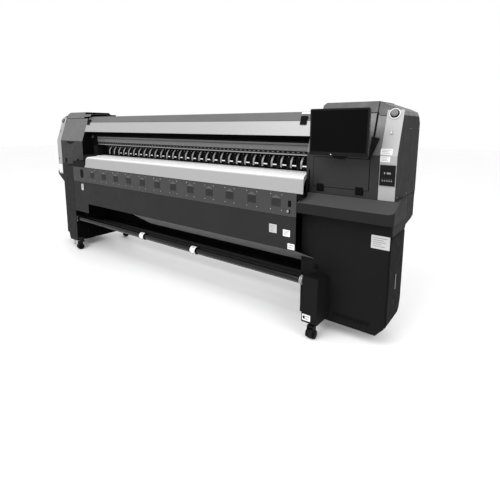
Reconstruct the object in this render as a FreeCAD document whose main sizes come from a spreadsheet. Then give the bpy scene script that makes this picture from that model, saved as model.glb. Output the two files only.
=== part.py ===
import FreeCAD, Part
import os
import re
import math
import Sketcher

# Grand-format roll-to-roll inkjet printer, 3.2 m class, in millimetres.
# +X runs along the machine to the electronics tower, +Y to the back, +Z up.
# The origin is on the floor, below the middle of the machine.

V = FreeCAD.Vector
doc = FreeCAD.newDocument("wide_format_printer")
sheet = doc.addObject("Spreadsheet::Sheet", "Dims")

DIMENSIONS = [
    # widths along X
    ("tower_end", 2350), ("flare", 35), ("wall_left", -1690), ("wall_right", 1652),
    ("strip_inner_right", 2229), ("strip_inner_left", -2243), ("platen_left", -1412),
    # depths along Y
    ("tower_front", -195), ("tower_back", 380), ("fascia_front", -345), ("cabinet_front", -245),
    ("cabinet_back", 145), ("leg_front", -445), ("rear_limit", 445), ("slope_back", -97),
    # heights
    ("cabinet_bottom", 95), ("casing_bottom", 172), ("cabinet_top", 842), ("seam_height", 1112),
    ("crease", 1430), ("slope_top", 1712), ("roof", 1765), ("crown", 1818), ("beam_cover_top", 1753),
    ("fascia_bottom", 645), ("fascia_split", 920), ("fascia_top", 1111), ("desk_low", 965),
    ("desk_lip", 1045), ("platen_top", 1257), ("rail_bottom", 1388), ("rail_top", 1555),
    # take-up, supply and feed
    ("take_up_back", -310), ("take_up_height", 407), ("take_up_radius", 27),
    ("supply_back", 330), ("supply_height", 655), ("supply_radius", 38),
    ("grit_back", -45), ("grit_radius", 18), ("pinch_radius", 14), ("pinch_pitch", 100),
    ("pinch_count", 30), ("pinch_first", -1290), ("pivot_back", -8), ("pivot_height", 1364),
    # sheet metal, clearances and repeats
    ("skin", 3), ("gap", 2), ("running", 0.05), ("fan_count", 12), ("fan_pitch", 245.4),
    ("fan_first", -1237), ("fan_height", 1060), ("fan_size", 120),
    ("caster_radius", 37.5), ("caster_trail", 28), ("button_pitch", 15.5),
]
D = {}
for row, (alias, value) in enumerate(DIMENSIONS, start=1):
    cell = "A%d" % row
    sheet.set(cell, str(value))
    sheet.setAlias(cell, alias)
    D[alias] = float(value)
doc.recompute()

PARTS = []


def bind(text):
    """Turn the sheet's words in an expression into references to its cells."""
    return re.sub(r"[a-z_]+", lambda m: ("Dims." if m.group(0) in D else "") + m.group(0), text)


def number(value):
    """Value of a number, or of a sum of the sheet's words."""
    if isinstance(value, (int, float)):
        return float(value)
    plain = re.sub(r"[a-z_]+", lambda m: "(%r)" % D[m.group(0)], value)
    total = 0.0
    amount_form = r"(?:\([^)]*\)|[0-9.]+)"
    term_form = r"([+-]?)\s*(" + amount_form + r"(?:\s*[*/]\s*" + amount_form + r")*)"
    for sign, term in re.findall(term_form, plain):
        product = 1.0
        for op, item in re.findall(r"([*/]?)\s*(\([^)]*\)|[0-9.]+)", term):
            amount = float(item.strip("()"))
            product = product / amount if op == "/" else product * amount
        total += -product if sign == "-" else product
    return total


def keep(obj, name):
    """Name a finished sub-part, which is written to a file of its own."""
    obj.Label = name
    PARTS.append(obj)
    return obj


def set_or_bind(obj, prop, value):
    if isinstance(value, str):
        obj.setExpression(prop, bind(value))
    else:
        obj.setExpression(prop, str(float(value)))


# Sketch planes of a body: the role of its origin plane, and how a pad along the plane's
# normal sits on the axis that it grows along.
PLANES = {"yz": ("YZ_Plane", "x", 1), "xz": ("XZ_Plane", "y", -1), "xy": ("XY_Plane", "z", 1)}


def draw(sketch, outline):
    """Closed outline of straight edges, each corner tied to the origin by two dimensions."""
    first = sketch.GeometryCount
    corners = [V(number(a), number(b), 0) for a, b in outline]
    count = len(corners)
    for i in range(count):
        sketch.addGeometry(Part.LineSegment(corners[i], corners[(i + 1) % count]))
    for i in range(count):
        sketch.addConstraint(Sketcher.Constraint("Coincident", first + i, 2, first + (i + 1) % count, 1))
    for i, corner in enumerate(outline):
        for kind, value in zip(("DistanceX", "DistanceY"), corner):
            index = sketch.addConstraint(Sketcher.Constraint(kind, -1, 1, first + i, 1, number(value)))
            if isinstance(value, str):
                sketch.setExpression("Constraints[%d]" % index, bind(value))


def prism(name, plane, outline, start, end, holes=(), circles=(), finished=True):
    """Body with one pad: an outline on a plane, from start to end along the third axis."""
    role, axis, direction = PLANES[plane]
    body = doc.addObject("PartDesign::Body", name)
    sketch = body.newObject("Sketcher::SketchObject", name + "_sketch")
    origin_plane = [f for f in body.Origin.OriginFeatures if f.Role == role][0]
    sketch.AttachmentSupport = [(origin_plane, "")]
    sketch.MapMode = "FlatFace"
    draw(sketch, outline)
    for hole in holes:
        draw(sketch, hole)
    for a, b, radius in circles:
        index = sketch.addGeometry(Part.Circle(V(number(a), number(b), 0), V(0, 0, 1), number(radius)))
        for kind, value in (("DistanceX", a), ("DistanceY", b)):
            tie = sketch.addConstraint(Sketcher.Constraint(kind, -1, 1, index, 3, number(value)))
            if isinstance(value, str):
                sketch.setExpression("Constraints[%d]" % tie, bind(value))
        sketch.addConstraint(Sketcher.Constraint("Radius", index, number(radius)))
    pad = body.newObject("PartDesign::Pad", name + "_pad")
    pad.Profile = sketch
    set_or_bind(pad, "Length", "%s - (%s)" % (end, start))
    base = start if direction > 0 else end
    set_or_bind(body, "Placement.Base." + axis, str(base))
    body.Tip = pad
    if finished:
        keep(body, name)
    return body


def rectangle(a0, b0, a1, b1):
    return [(a0, b0), (a1, b0), (a1, b1), (a0, b1)]


def block(name, x, y, z):
    """Rectangular block between two limits on each axis."""
    box = doc.addObject("Part::Box", name)
    for prop, axis, (low, high) in zip(("Length", "Width", "Height"), "xyz", (x, y, z)):
        set_or_bind(box, prop, "%s - (%s)" % (high, low))
        set_or_bind(box, "Placement.Base." + axis, str(low))
    return keep(box, name)


def boolean(kind, name, first, second, finished=True):
    """Part::Cut or Part::Common of two objects."""
    result = doc.addObject("Part::" + kind, name)
    result.Base = first
    result.Tool = second
    if finished:
        keep(result, name)
    return result


def group(name, shapes):
    """Several separate solids in one node, built from the sheet's values."""
    feature = doc.addObject("Part::Feature", name)
    feature.Shape = Part.makeCompound(shapes)
    feature.Placement = FreeCAD.Placement()
    return keep(feature, name)


def rod(x, y, z, radius, length, axis=V(1, 0, 0)):
    """Round bar that starts at a point and runs along an axis."""
    return Part.makeCylinder(radius, length, V(x, y, z), axis)


def bar(x0, x1, y0, y1, z0, z1):
    return Part.makeBox(x1 - x0, y1 - y0, z1 - z0, V(x0, y0, z0))


def extrude_yz(outline, x0, x1):
    wire = Part.makePolygon([V(x0, a, b) for a, b in outline] + [V(x0, *outline[0])])
    return Part.Face(wire).extrude(V(x1 - x0, 0, 0))


def thick_path(points, thickness):
    """Outline of a bent sheet: a path, and the same path moved to its right by the thickness."""
    normals = []
    for (a0, b0), (a1, b1) in zip(points, points[1:]):
        run = math.hypot(a1 - a0, b1 - b0)
        normals.append(((b1 - b0) / run, -(a1 - a0) / run))
    inner = []
    for i, (a, b) in enumerate(points):
        before = normals[max(i - 1, 0)]
        after = normals[min(i, len(normals) - 1)]
        scale = thickness / (1 + before[0] * after[0] + before[1] * after[1])
        inner.append((a + (before[0] + after[0]) * scale, b + (before[1] + after[1]) * scale))
    return points + inner[::-1]


def slope_y(height, inset=0.0):
    """Y on the sloped front of the towers at a height, moved back by an inset."""
    rise = D["slope_top"] - D["crease"]
    run = D["slope_back"] - D["tower_front"]
    return D["tower_front"] + (height - D["crease"]) * run / rise + inset * math.hypot(rise, run) / rise


# ---------------------------------------------------------------- structure
prism("main_crossbeam", "yz", rectangle(-60, 880, 140, 1095), "wall_left + skin", "wall_right",
      holes=[rectangle(-54, 886, 134, 1089)])
prism("lower_crossbeam", "yz", rectangle(40, 200, 138, 330), "wall_left + skin", "wall_right",
      holes=[rectangle(45, 205, 133, 325)])
block("lower_back_panel", ("wall_left + skin", "wall_right"), ("cabinet_back - skin", "cabinet_back"),
      (191, 880))


def pedestal(x0, x1):
    """Welded frame inside a cabinet: four posts with a rail at the top of each side."""
    post = 50
    y0 = D["tower_front"] + 15
    y1 = D["cabinet_back"] - 20
    low = D["casing_bottom"] + 110
    high = D["cabinet_top"] - 12
    pieces = []
    for x in (x0, x1 - post):
        for y in (y0, y1 - post):
            pieces.append(bar(x, x + post, y, y + post, low, high))
        pieces.append(bar(x, x + post, y0 + post, y1 - post, high - post, high))
    return pieces


group("pedestal_frames", pedestal(D["wall_right"] + 60, D["tower_end"] - 60)
      + pedestal(-2190.0, D["wall_left"] - 60))

# The rail beam is a hollow extrusion with a groove for the encoder strip along its front.
beam_outline = [(-50, "rail_bottom"), (60, "rail_bottom"), (60, "rail_top"), (-50, "rail_top"),
                (-50, 1424), (-44, 1424), (-44, 1400), (-50, 1400)]
prism("rail_beam", "yz", beam_outline, "wall_left + 6", 2320, holes=[rectangle(-34, 1400, 48, 1543)])
group("beam_posts", [bar(x, x + 90, -38, 58, z, D["rail_bottom"])
                     for x, z in ((D["wall_left"] + 8, 1098), (2190, 1118))])
block("linear_rail", (-1650, 2300), (-12, 3), ("rail_top", "rail_top + 15"))
block("encoder_strip", (-1650, 2280), (-46, -44), (1405, 1419))

# ---------------------------------------------------------------- carriage drive
BELT_Z = 1489
PULLEY_X = (-1650, 2262)
PULLEY_R = 15
BELT = (-66, -54)


def stadium(radius):
    """Racetrack round both pulley centres, between the belt's two faces."""
    straight = bar(PULLEY_X[0], PULLEY_X[1], BELT[0], BELT[1], BELT_Z - radius, BELT_Z + radius)
    ends = [rod(x, BELT[0], BELT_Z, radius, BELT[1] - BELT[0], V(0, 1, 0)) for x in PULLEY_X]
    return straight.fuse(ends).removeSplitter()


group("drive_belt", [stadium(PULLEY_R + 2.5).cut(stadium(PULLEY_R + 0.4))])
group("pulley_pins", [rod(x, -70, BELT_Z, 5, 20, V(0, 1, 0)) for x in PULLEY_X])


def pulley(name, x):
    wheel = rod(x, -67, BELT_Z, PULLEY_R, 14, V(0, 1, 0))
    return group(name, [wheel.cut(rod(x, -75, BELT_Z, 5 + D["running"], 40, V(0, 1, 0)))])


pulley("idler_pulley", PULLEY_X[0])
pulley("drive_pulley", PULLEY_X[1])
group("carriage_motor", [bar(2232, 2300, -139, -70.5, 1452, 1524)])

# The carriage is parked in the right tower. An arm over the beam carries its bearings.
CARRIAGE = (1705, 2155)
carriage_outline = [(-186, 1275), (-186, 1425), (-128, 1585), (-128, 1602), (40, 1602), (40, 1589),
                    (-78, 1589), (-78, 1275)]
prism("carriage_body", "yz", carriage_outline, CARRIAGE[0], CARRIAGE[1])
group("print_heads", [bar(x, x + 44, y, y + 42, 1260, 1275)
                      for x in range(1740, 2100, 92) for y in (-180, -130)])


def bearing(x):
    """Recirculating block: an inverted channel that runs on the linear rail."""
    slot = D["running"]
    shell = bar(x, x + 70, -26, 17, 1557, 1589)
    return shell.cut(bar(x - 1, x + 71, -12 - slot, 3 + slot, 1550, D["rail_top"] + 15 + slot))


group("carriage_bearings", [bearing(x) for x in (1740, 2050)])
group("belt_clamp", [bar(1880, 1960, -78, -66.5, 1466, 1482)])

# ---------------------------------------------------------------- platen and feed
platen_path = [(-342, 1114), (-325, 1196), (-318, 1207), (-306, 1213), (-196, 1251), (-180, "platen_top"),
               (-68, "platen_top")]
platen_outline = platen_path + [(-68, 1235), (-176, 1235), (-300, 1192), (-312, 1180), (-330, 1114)]
platen_blank = prism("platen_blank", "yz", platen_outline, "platen_left", 1704, finished=False)
platen_plan = [("platen_left", -342), (1704, -342), ("wall_right - gap", -199), ("wall_right - gap", -68),
               ("platen_left", -68)]
platen_trim = prism("platen_trim", "xy", platen_plan, 1100, 1270, finished=False)
boolean("Common", "platen", platen_blank, platen_trim)
block("service_tray", ("wall_left + skin", "platen_left - gap"), (-340, -70), (1114, 1180))
block("capping_station", (1740, 2140), (-186, -76), (1118, 1252))


def shaft_with_journals(name, y, z, radius, x0, x1, journal, reach):
    body = Part.makeCylinder(radius, x1 - x0, V(x0, y, z), V(1, 0, 0))
    ends = rod(x0 - reach, y, z, journal, x1 - x0 + 2 * reach)
    return group(name, [body.fuse(ends).removeSplitter()])


GRIT_Z = D["platen_top"] - D["grit_radius"]
shaft_with_journals("grit_roller", D["grit_back"], GRIT_Z, D["grit_radius"], -1400, 1630, 8, 12)
roller_blocks = []
for block_x in (-1411.5, 1630.5):
    housing = bar(block_x, block_x + 11, D["grit_back"] - 14, D["grit_back"] + 30, 1197, 1253)
    bore = rod(block_x - 1, D["grit_back"], GRIT_Z, 8 + D["running"], 20)
    roller_blocks.append(housing.cut(bore))
group("roller_bearings", roller_blocks)
block("feed_table", (-1398, 1628), (-22, 230), (1240, "platen_top"))
block("feed_table_support", (-1390, 1620), (-10, 130), (1097, 1238))

PINCH_Z = D["platen_top"] + 0.4 + D["pinch_radius"]
PINCH_X = [D["pinch_first"] + i * D["pinch_pitch"] for i in range(int(D["pinch_count"]))]


def pinch_roller(x):
    """Two rubber rollers on one axle, either side of the arm."""
    axle = rod(x - 24, D["grit_back"], PINCH_Z, 4, 48)
    wheels = [rod(x + side, D["grit_back"], PINCH_Z, D["pinch_radius"], 18) for side in (-24, 6)]
    return axle.fuse(wheels).removeSplitter()


def pinch_arm(x):
    """Curved lever from the pivot shaft down to the roller's axle."""
    axle = (D["grit_back"], PINCH_Z)
    outline = [(axle[0] - 9, axle[1] + 2), (axle[0] - 5, axle[1] - 7), (axle[0] + 7, axle[1] - 6),
               (axle[0] + 12, axle[1] + 8), (axle[0] + 8, 1305), (axle[0] + 14, 1328),
               (D["pivot_back"] + 9, 1352), (D["pivot_back"] + 11, 1368), (D["pivot_back"] - 2, 1376),
               (D["pivot_back"] - 20, 1370), (axle[0] - 14, 1340), (axle[0] - 18, 1304)]
    arm = extrude_yz(outline, x - 5, x + 5)
    arm = arm.cut(rod(x - 20, axle[0], axle[1], 4 + D["running"], 40))
    return arm.cut(rod(x - 20, D["pivot_back"], D["pivot_height"], 6, 40))


group("pinch_rollers", [pinch_roller(x) for x in PINCH_X])
group("pinch_arms", [pinch_arm(x) for x in PINCH_X])
group("pinch_shaft", [rod(-1405, D["pivot_back"], D["pivot_height"], 6, 3030)])
hangers = []
for hanger_x in (-1391, -740, -140, 560, 1160, 1560):
    hanger = bar(hanger_x - 5, hanger_x + 5, D["pivot_back"] - 10, D["pivot_back"] + 12, 1354, 1387.8)
    hangers.append(hanger.cut(rod(hanger_x - 8, D["pivot_back"], D["pivot_height"], 6 + D["running"], 16)))
group("pinch_hangers", hangers)

# ---------------------------------------------------------------- towers
side_outline = [("tower_front", "seam_height"), ("tower_front", "crease"), ("slope_back", "slope_top"),
                (340, "slope_top"), ("tower_back", 1660), ("tower_back", "seam_height")]


def upper_wall(x0, x1):
    """Inner wall of a tower in three plates round the carriage's way in."""
    top = [(slope_y(1612, 3), 1612), (slope_y(1700, 3), 1700), (340, 1700), (377, 1650), (377, 1612)]
    low = [(-192, 1112), (-192, 1250), (377, 1250), (377, 1112)]
    back = [(70, 1250), (70, 1612), (377, 1612), (377, 1250)]
    return [extrude_yz(outline, x0, x1) for outline in (top, low, back)]


group("right_inner_wall", upper_wall(D["wall_right"], D["wall_right"] + D["skin"]))
group("left_inner_wall", upper_wall(D["wall_left"] - D["skin"], D["wall_left"]))
prism("right_side_panel", "yz", side_outline, "tower_end - skin", "tower_end")
prism("left_side_panel", "yz", side_outline, "0 - tower_end", "0 - tower_end + skin")


def front_panel(name, x0, x1, door):
    """Upright front of a tower, with the hole that a door covers."""
    holes = [door] if door else []
    return prism(name, "xz", rectangle(x0, "seam_height", x1, "crease"), "tower_front",
                 "tower_front + skin", holes=holes)


door_hole = rectangle(1722, 1176, 2152, 1392)
front_panel("right_front_panel", "wall_right", "strip_inner_right", door_hole)
front_panel("left_front_panel", "strip_inner_left", "wall_left", None)

slope_outline = thick_path([(D["tower_front"], D["crease"] + 1), (slope_y(1731), 1731)], D["skin"])
low_slope_outline = thick_path([(D["tower_front"], D["crease"] + 1), (slope_y(1710), 1710)], D["skin"])
group("right_slope_panel", [extrude_yz(slope_outline, D["wall_right"], 2161),
                            extrude_yz(low_slope_outline, 2165, D["strip_inner_right"])])
group("left_slope_panel", [extrude_yz(slope_outline, D["strip_inner_left"], D["wall_left"])])

# Silver end strips follow the front of the tower and stand proud of it.
strip_path = thick_path([(-198.1, D["seam_height"]), (-198.1, 1430.5), (slope_y(1752, -3.1), 1752)], 3)
group("right_silver_strip", [extrude_yz(strip_path, D["strip_inner_right"] + 1, D["tower_end"] - 3)])
left_strip_path = thick_path([(-198.1, 955), (-198.1, 1430.5), (slope_y(1752, -3.1), 1752)], 3)
group("left_silver_strip", [extrude_yz(left_strip_path, 3 - D["tower_end"], D["strip_inner_left"] - 1)])


def cap(name, front_outline, side_profile, x0, x1):
    """Sheet-metal lid: where a front outline and a side profile cross, hollow and open below."""
    y0 = min(number(a) for a, b in side_profile)
    y1 = max(number(a) for a, b in side_profile)
    across = prism(name + "_front", "xz", front_outline, y0, y1, finished=False)
    along = prism(name + "_side", "yz", side_profile, x0, x1, finished=False)
    return boolean("Common", name + "_outer", across, along, finished=False)


def inset(outline, amount, floor):
    """Outline moved inwards, for convex outlines listed anticlockwise, and dropped at the floor."""
    count = len(outline)
    lines = []
    for i in range(count):
        (a0, b0), (a1, b1) = outline[i], outline[(i + 1) % count]
        run = math.hypot(a1 - a0, b1 - b0)
        na, nb = -(b1 - b0) / run, (a1 - a0) / run
        move = -5.0 if b0 <= floor and b1 <= floor else amount
        lines.append((na, nb, na * a0 + nb * b0 + move))
    result = []
    for i in range(count):
        (a, b, c), (d, e, f) = lines[i - 1], lines[i]
        det = a * e - b * d
        result.append(((c * e - b * f) / det, (a * f - c * d) / det))
    return result


def hollow_cap(name, front_outline, side_profile, floor):
    """A lid's outer form less the same form moved inwards by the sheet's thickness."""
    span_x = [a for a, b in front_outline]
    outer = cap(name, front_outline, side_profile, min(span_x), max(span_x))
    small_front = inset(front_outline, D["skin"], floor)
    small_side = inset(side_profile, D["skin"], floor)
    small_x = [a for a, b in small_front]
    inner = cap(name + "_inside", small_front, small_side, min(small_x), max(small_x))
    return boolean("Cut", name, outer, inner)


hood_side = [(slope_y(1735), 1735), (340, 1735), (340, 1772), (296, D["crown"]), (-58, D["crown"])]
hollow_cap("right_hood", [(1715, 1735), (2161, 1735), (2161, D["crown"]), (1745, D["crown"]), (1722, 1800)],
           hood_side, 1735)
hollow_cap("left_hood", [(-2241, 1735), (-1791, 1735), (-1791, D["crown"]), (-2190, D["crown"]),
                         (-2232, 1796)], hood_side, 1735)
end_side = [(slope_y(1712), 1712), (340, 1712), (342, 1735), (300, D["crown"]), (-58, D["crown"]),
            (slope_y(1765), 1765)]
hollow_cap("right_end_cap", [(2165, 1712), (2350, 1712), (2337, 1745), (2297, D["roof"]),
                             (2165, D["crown"] - 6)], end_side, 1712)
hollow_cap("left_end_cap", [(-2350, 1712), (-2245, 1712), (-2245, 1781), (-2297, D["roof"]),
                            (-2337, 1745)], end_side, 1712)


def back_panel(name, x0, x1):
    return block(name, (x0, x1), ("tower_back - skin", "tower_back"), (905, 1658))


back_panel("right_back_panel", "wall_right", "tower_end - skin")
back_panel("left_back_panel", "0 - tower_end + skin", "wall_left")
group("tower_decks", [bar(D["wall_right"] + 3, D["tower_end"] - 3, -192, 377, 1112, 1115),
                      bar(3 - D["tower_end"], D["wall_left"] - 3, -192, 377, 1112, 1115)])

# ---------------------------------------------------------------- top cover and front cover
cover_line = [(slope_y(1680) + 1, 1680), (-62, D["beam_cover_top"]), (245, D["beam_cover_top"])]
cover_path = thick_path(cover_line, 3)
group("beam_cover", [extrude_yz(cover_path, -1687, 1650)])
front_rise = thick_path([(slope_y(1735), 1735), (-66, 1757), (341, 1757), (341, 1715)], 3)
left_rise = thick_path([(slope_y(1735), 1756), (-66, 1787), (341, 1787), (341, 1715)], 3)
group("tower_roofs", [extrude_yz(front_rise, 1654, 1713), extrude_yz(left_rise, -1787, -1692)])
left_step = thick_path([(slope_y(1735), 1757), (-66, 1787), (243, 1787), (243, 1756)], 3)
group("left_roof_step", [extrude_yz(left_step, -1690, -1640)])
back_slope = thick_path([(343, 1712), (380, 1660)], 3)
group("back_slopes", [extrude_yz(back_slope, 1655, 2347), extrude_yz(back_slope, -2347, -1693)])
block("rear_cover", ("wall_left", "wall_right"), (246, 249), (1268, 1752))
block("feed_shield", ("wall_left + skin", "wall_right"), (233, 236), (1097, 1258))

front_cover_path = thick_path([(slope_y(1557), 1557), (slope_y(1677), 1677)], 3)
front_cover = extrude_yz(front_cover_path, D["wall_left"] + 2, D["wall_right"] - 2)
HINGE_X = (-1640, 1570)


def hinge_leaf(x, low, high):
    """Black plastic leaf of a hinge, lying on the sloped covers between two heights."""
    plate = [(slope_y(low) - 6, low), (slope_y(high) - 6, high), (slope_y(high) - 0.2, high),
             (slope_y(low) - 0.2, low)]
    return extrude_yz(plate, x - 28, x + 28)


group("front_cover", [front_cover] + [hinge_leaf(x, 1645, 1675) for x in HINGE_X])
group("cover_hinges", [hinge_leaf(x, 1681, 1700) for x in HINGE_X])

# ---------------------------------------------------------------- fascia and drying fans
FAN_X = [D["fan_first"] + i * D["fan_pitch"] for i in range(int(D["fan_count"]))]
vent_circles = []
for vent_x in FAN_X:
    vent_circles.append((vent_x, "fan_height - 40", 42))
fascia_high = rectangle("wall_left + skin", "fascia_split + 1", "wall_right - gap", "fascia_top")
prism("fascia_upper", "xz", fascia_high, "fascia_front", "fascia_front + skin", circles=vent_circles)
fascia_low = [("wall_left + skin", 522), (-1372, 522), (-1372, "fascia_bottom"),
              ("wall_right - gap", "fascia_bottom"), ("wall_right - gap", "fascia_split - 1"),
              ("wall_left + skin", "fascia_split - 1")]
prism("fascia_lower", "xz", fascia_low, "fascia_front", "fascia_front + skin")
lip_path = thick_path([(-100, 489), (-341, 643)], 3)
group("fascia_lip", [extrude_yz(lip_path, -450, D["wall_right"] - D["gap"])])


def fan(x):
    """Axial fan: a square frame with a round duct and a hub on four struts."""
    half = D["fan_size"] / 2
    z = D["fan_height"] - 40
    frame = bar(x - half, x + half, -341, -316, z - half, z + half)
    frame = frame.cut(rod(x, -350, z, half - 4, 40, V(0, 1, 0)))
    hub = rod(x, -338, z, 20, 20, V(0, 1, 0))
    struts = [bar(x - half + 1, x + half - 1, -320, -317, z - 3, z + 3),
              bar(x - 3, x + 3, -320, -317, z - half + 1, z + half - 1)]
    return frame.fuse([hub] + struts).removeSplitter()


group("drying_fans", [fan(x) for x in FAN_X])
group("fascia_brackets", [bar(x, x + 40, -341.5, -60, z, z + 20)
                          for x in (-1500, -700, 100, 900, 1500) for z in (905,)])

# ---------------------------------------------------------------- desk
desk_plan = [("wall_right", "fascia_front"), (2352, "fascia_front"), (2375, -335),
             ("tower_end + flare", -312), ("tower_end + flare", -5), ("tower_end + 1", 12),
             ("tower_end + 1", -199), ("wall_right", -199)]
desk_blank = prism("desk_blank", "xy", desk_plan, "desk_low", "seam_height", finished=False)
desk_slope = [("fascia_front - 1", "desk_low"), ("fascia_front - 1", "desk_lip"), (-199, "seam_height"),
              (20, "seam_height"), (20, "desk_low")]
desk_side = prism("desk_side", "yz", desk_slope, "wall_right", "tower_end + flare", finished=False)
desk_outer = boolean("Common", "desk_outer", desk_blank, desk_side, finished=False)
desk_hollow_side = [(-342, 960), (-342, 1043), (-203, 1106), (-203, 960)]
desk_hollow = prism("desk_hollow", "yz", desk_hollow_side, "wall_right + skin", 2346, finished=False)
boolean("Cut", "desk_shelf", desk_outer, desk_hollow)

# ---------------------------------------------------------------- lower casings
right_skirt_outline = [(-192, 848), (145, 848), (154, 874), (335, 899), (376, 1109), (-192, 1109)]
right_skirt = prism("skirt_outer", "yz", right_skirt_outline, "wall_right", "tower_end", finished=False)
right_room_outline = [(-189, 851), (143, 851), (152, 877), (333, 902), (373, 1112), (-189, 1112)]
right_room = prism("skirt_inner", "yz", right_room_outline, "wall_right + skin", "tower_end - skin",
                   finished=False)
boolean("Cut", "right_skirt_casing", right_skirt, right_room)

left_skirt_outline = [("wall_left", 850), (-2250, 850), (-2385, 948), (-2385, 990), (-2350, 1010),
                      (-2350, 1109), ("wall_left", 1109)]
left_skirt = prism("left_skirt_outer", "xz", left_skirt_outline, "tower_front", 376, finished=False)
left_room_outline = [(-1693, 853), (-2249, 853), (-2381, 949), (-2381, 988), (-2347, 1008),
                     (-2347, 1112), (-1693, 1112)]
left_room = prism("left_skirt_inner", "xz", left_room_outline, "tower_front + skin", 373, finished=False)
boolean("Cut", "left_skirt_casing", left_skirt, left_room)

cabinet_side = [("cabinet_front + skin + gap", "casing_bottom"), (80, "casing_bottom"), (125, 200),
                ("cabinet_back", 265), ("cabinet_back", "cabinet_top"),
                ("cabinet_front + skin + gap", "cabinet_top")]
cabinet_room_side = [(-236, 175), (79, 175), (123, 202), (142, 266), (142, 839), (-236, 839)]
right_casing = prism("right_casing_outer", "yz", cabinet_side, "wall_right", "tower_end", finished=False)
right_casing_room = prism("right_casing_inner", "yz", cabinet_room_side, "wall_right + skin",
                          "tower_end - skin", finished=False)
boolean("Cut", "right_cabinet_casing", right_casing, right_casing_room)

louvre_slots = []
for slot in range(12):
    slot_x = 1950 + slot * 24
    louvre_slots.append([(slot_x, 150), (slot_x + 7, 150), (slot_x + 21, 185), (slot_x + 14, 185)])
front_outline = [("wall_right", "cabinet_bottom"), (2283, "cabinet_bottom"), (2344, 166), (2344, 962),
                 ("wall_right", 962)]
prism("right_cabinet_front", "xz", front_outline, "cabinet_front", "cabinet_front + skin",
      holes=louvre_slots)

left_side = [(-189, "cabinet_bottom"), (200, "cabinet_bottom"), (240, 140), (240, 848), (-189, 848)]
left_room_side = [(-186, 98), (199, 98), (237, 141), (237, 845), (-186, 845)]
left_casing = prism("left_casing_outer", "yz", left_side, -2250, "wall_left", finished=False)
left_casing_room = prism("left_casing_inner", "yz", left_room_side, -2247, "wall_left - skin",
                         finished=False)
boolean("Cut", "left_cabinet_casing", left_casing, left_casing_room)

leg_outline = [(-1880, "cabinet_bottom"), ("wall_left", "cabinet_bottom"), ("wall_left", 1111),
               (-1940, 1111), (-1940, 300)]
leg_blank = prism("leg_outer", "xz", leg_outline, "fascia_front", -197, finished=False)
leg_room_outline = [(-1879, 98), (-1693, 98), (-1693, 1108), (-1937, 1108), (-1937, 301)]
leg_room = prism("leg_inner", "xz", leg_room_outline, "fascia_front + skin", -200, finished=False)
boolean("Cut", "left_front_leg", leg_blank, leg_room)

# ---------------------------------------------------------------- take-up
TAKE_UP = (D["take_up_back"], D["take_up_height"])
box_outline = [(-435, 128), ("leg_front", 140), ("leg_front", 500), (-435, 504), (-247, 470), (-247, 128)]
box_blank = prism("take_up_blank", "yz", box_outline, 1774, 1904, finished=False)
bearing_hole = doc.addObject("Part::Cylinder", "take_up_bore")
bearing_hole.Radius = 9 + D["running"]
bearing_hole.Height = 40
bearing_hole.Placement = FreeCAD.Placement(V(1765, *TAKE_UP), FreeCAD.Rotation(V(0, 0, 1), V(1, 0, 0)))
boolean("Cut", "take_up_gearbox", box_blank, bearing_hole)
left_plate = bar(D["wall_left"], D["wall_left"] + 12, -343, -275, 370, 444)
group("left_bearing_plate", [left_plate.cut(rod(-1700, *TAKE_UP, 9 + D["running"], 40))])

tube_x = (-1640, 1690)
tube = rod(tube_x[0], *TAKE_UP, D["take_up_radius"], tube_x[1] - tube_x[0])
tube = tube.cut(rod(tube_x[0] + 30, *TAKE_UP, D["take_up_radius"] - 4, tube_x[1] - tube_x[0] - 60))
journals = [rod(-1688, *TAKE_UP, 9, 53), rod(tube_x[1] - 5, *TAKE_UP, 9, 110)]
group("take_up_tube", [tube.fuse(journals).removeSplitter()])
bore = rod(-1700, *TAKE_UP, D["take_up_radius"] + D["running"], 3500)
collars = []
for collar_x in (-319, 486):
    collars.append(rod(collar_x - 35, *TAKE_UP, 36, 70).cut(bore))
small_bore = rod(-1700, *TAKE_UP, 9 + D["running"], 3500)
for collar_x, width in ((-1662, 20), (1692, 20)):
    collars.append(rod(collar_x, *TAKE_UP, 38, width).cut(small_bore))
group("take_up_collars", collars)

DANCER = (-200, 520)
DANCER_DROP = 120
dancer = [rod(-1672, DANCER[0], DANCER[1] - DANCER_DROP, 10, 3316)]
for arm_x in (-1680, 1636):
    arm = bar(arm_x, arm_x + 8, DANCER[0] - 13, DANCER[0] + 13, DANCER[1] - DANCER_DROP - 14, DANCER[1] + 14)
    dancer.append(arm)
for pin_x in (-1689, 1640):
    dancer.append(rod(pin_x, *DANCER, 6, 11))
dancer_shape = dancer[0].fuse(dancer[1:]).removeSplitter()
group("dancer_bar", [dancer_shape])
group("dancer_pivots", [rod(x, *DANCER, 12, 7.5).cut(rod(x - 5, *DANCER, 6 + D["running"], 30))
                        for x in (D["wall_left"], D["wall_right"] - 7.5)])

# ---------------------------------------------------------------- supply roll at the back
SUPPLY = (D["supply_back"], D["supply_height"])
SUPPLY_X = (-1600, 1560)


def rear_stand(x):
    """Upright that carries one end of the supply shaft, with a foot back to its caster."""
    arm = bar(x, x + 60, 146, 420, 200, 260)
    post = bar(x, x + 60, SUPPLY[0] - 30, SUPPLY[0] + 30, 260, SUPPLY[1] - 18)
    cradle = bar(x, x + 60, SUPPLY[0] - 30, SUPPLY[0] + 30, SUPPLY[1] - 18, SUPPLY[1] + 14)
    cradle = cradle.cut(rod(x - 1, *SUPPLY, 12 + D["running"], 80))
    foot = bar(x, x + 60, 380, D["rear_limit"], 128, 200)
    return arm.fuse([post, cradle, foot]).removeSplitter()


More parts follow.
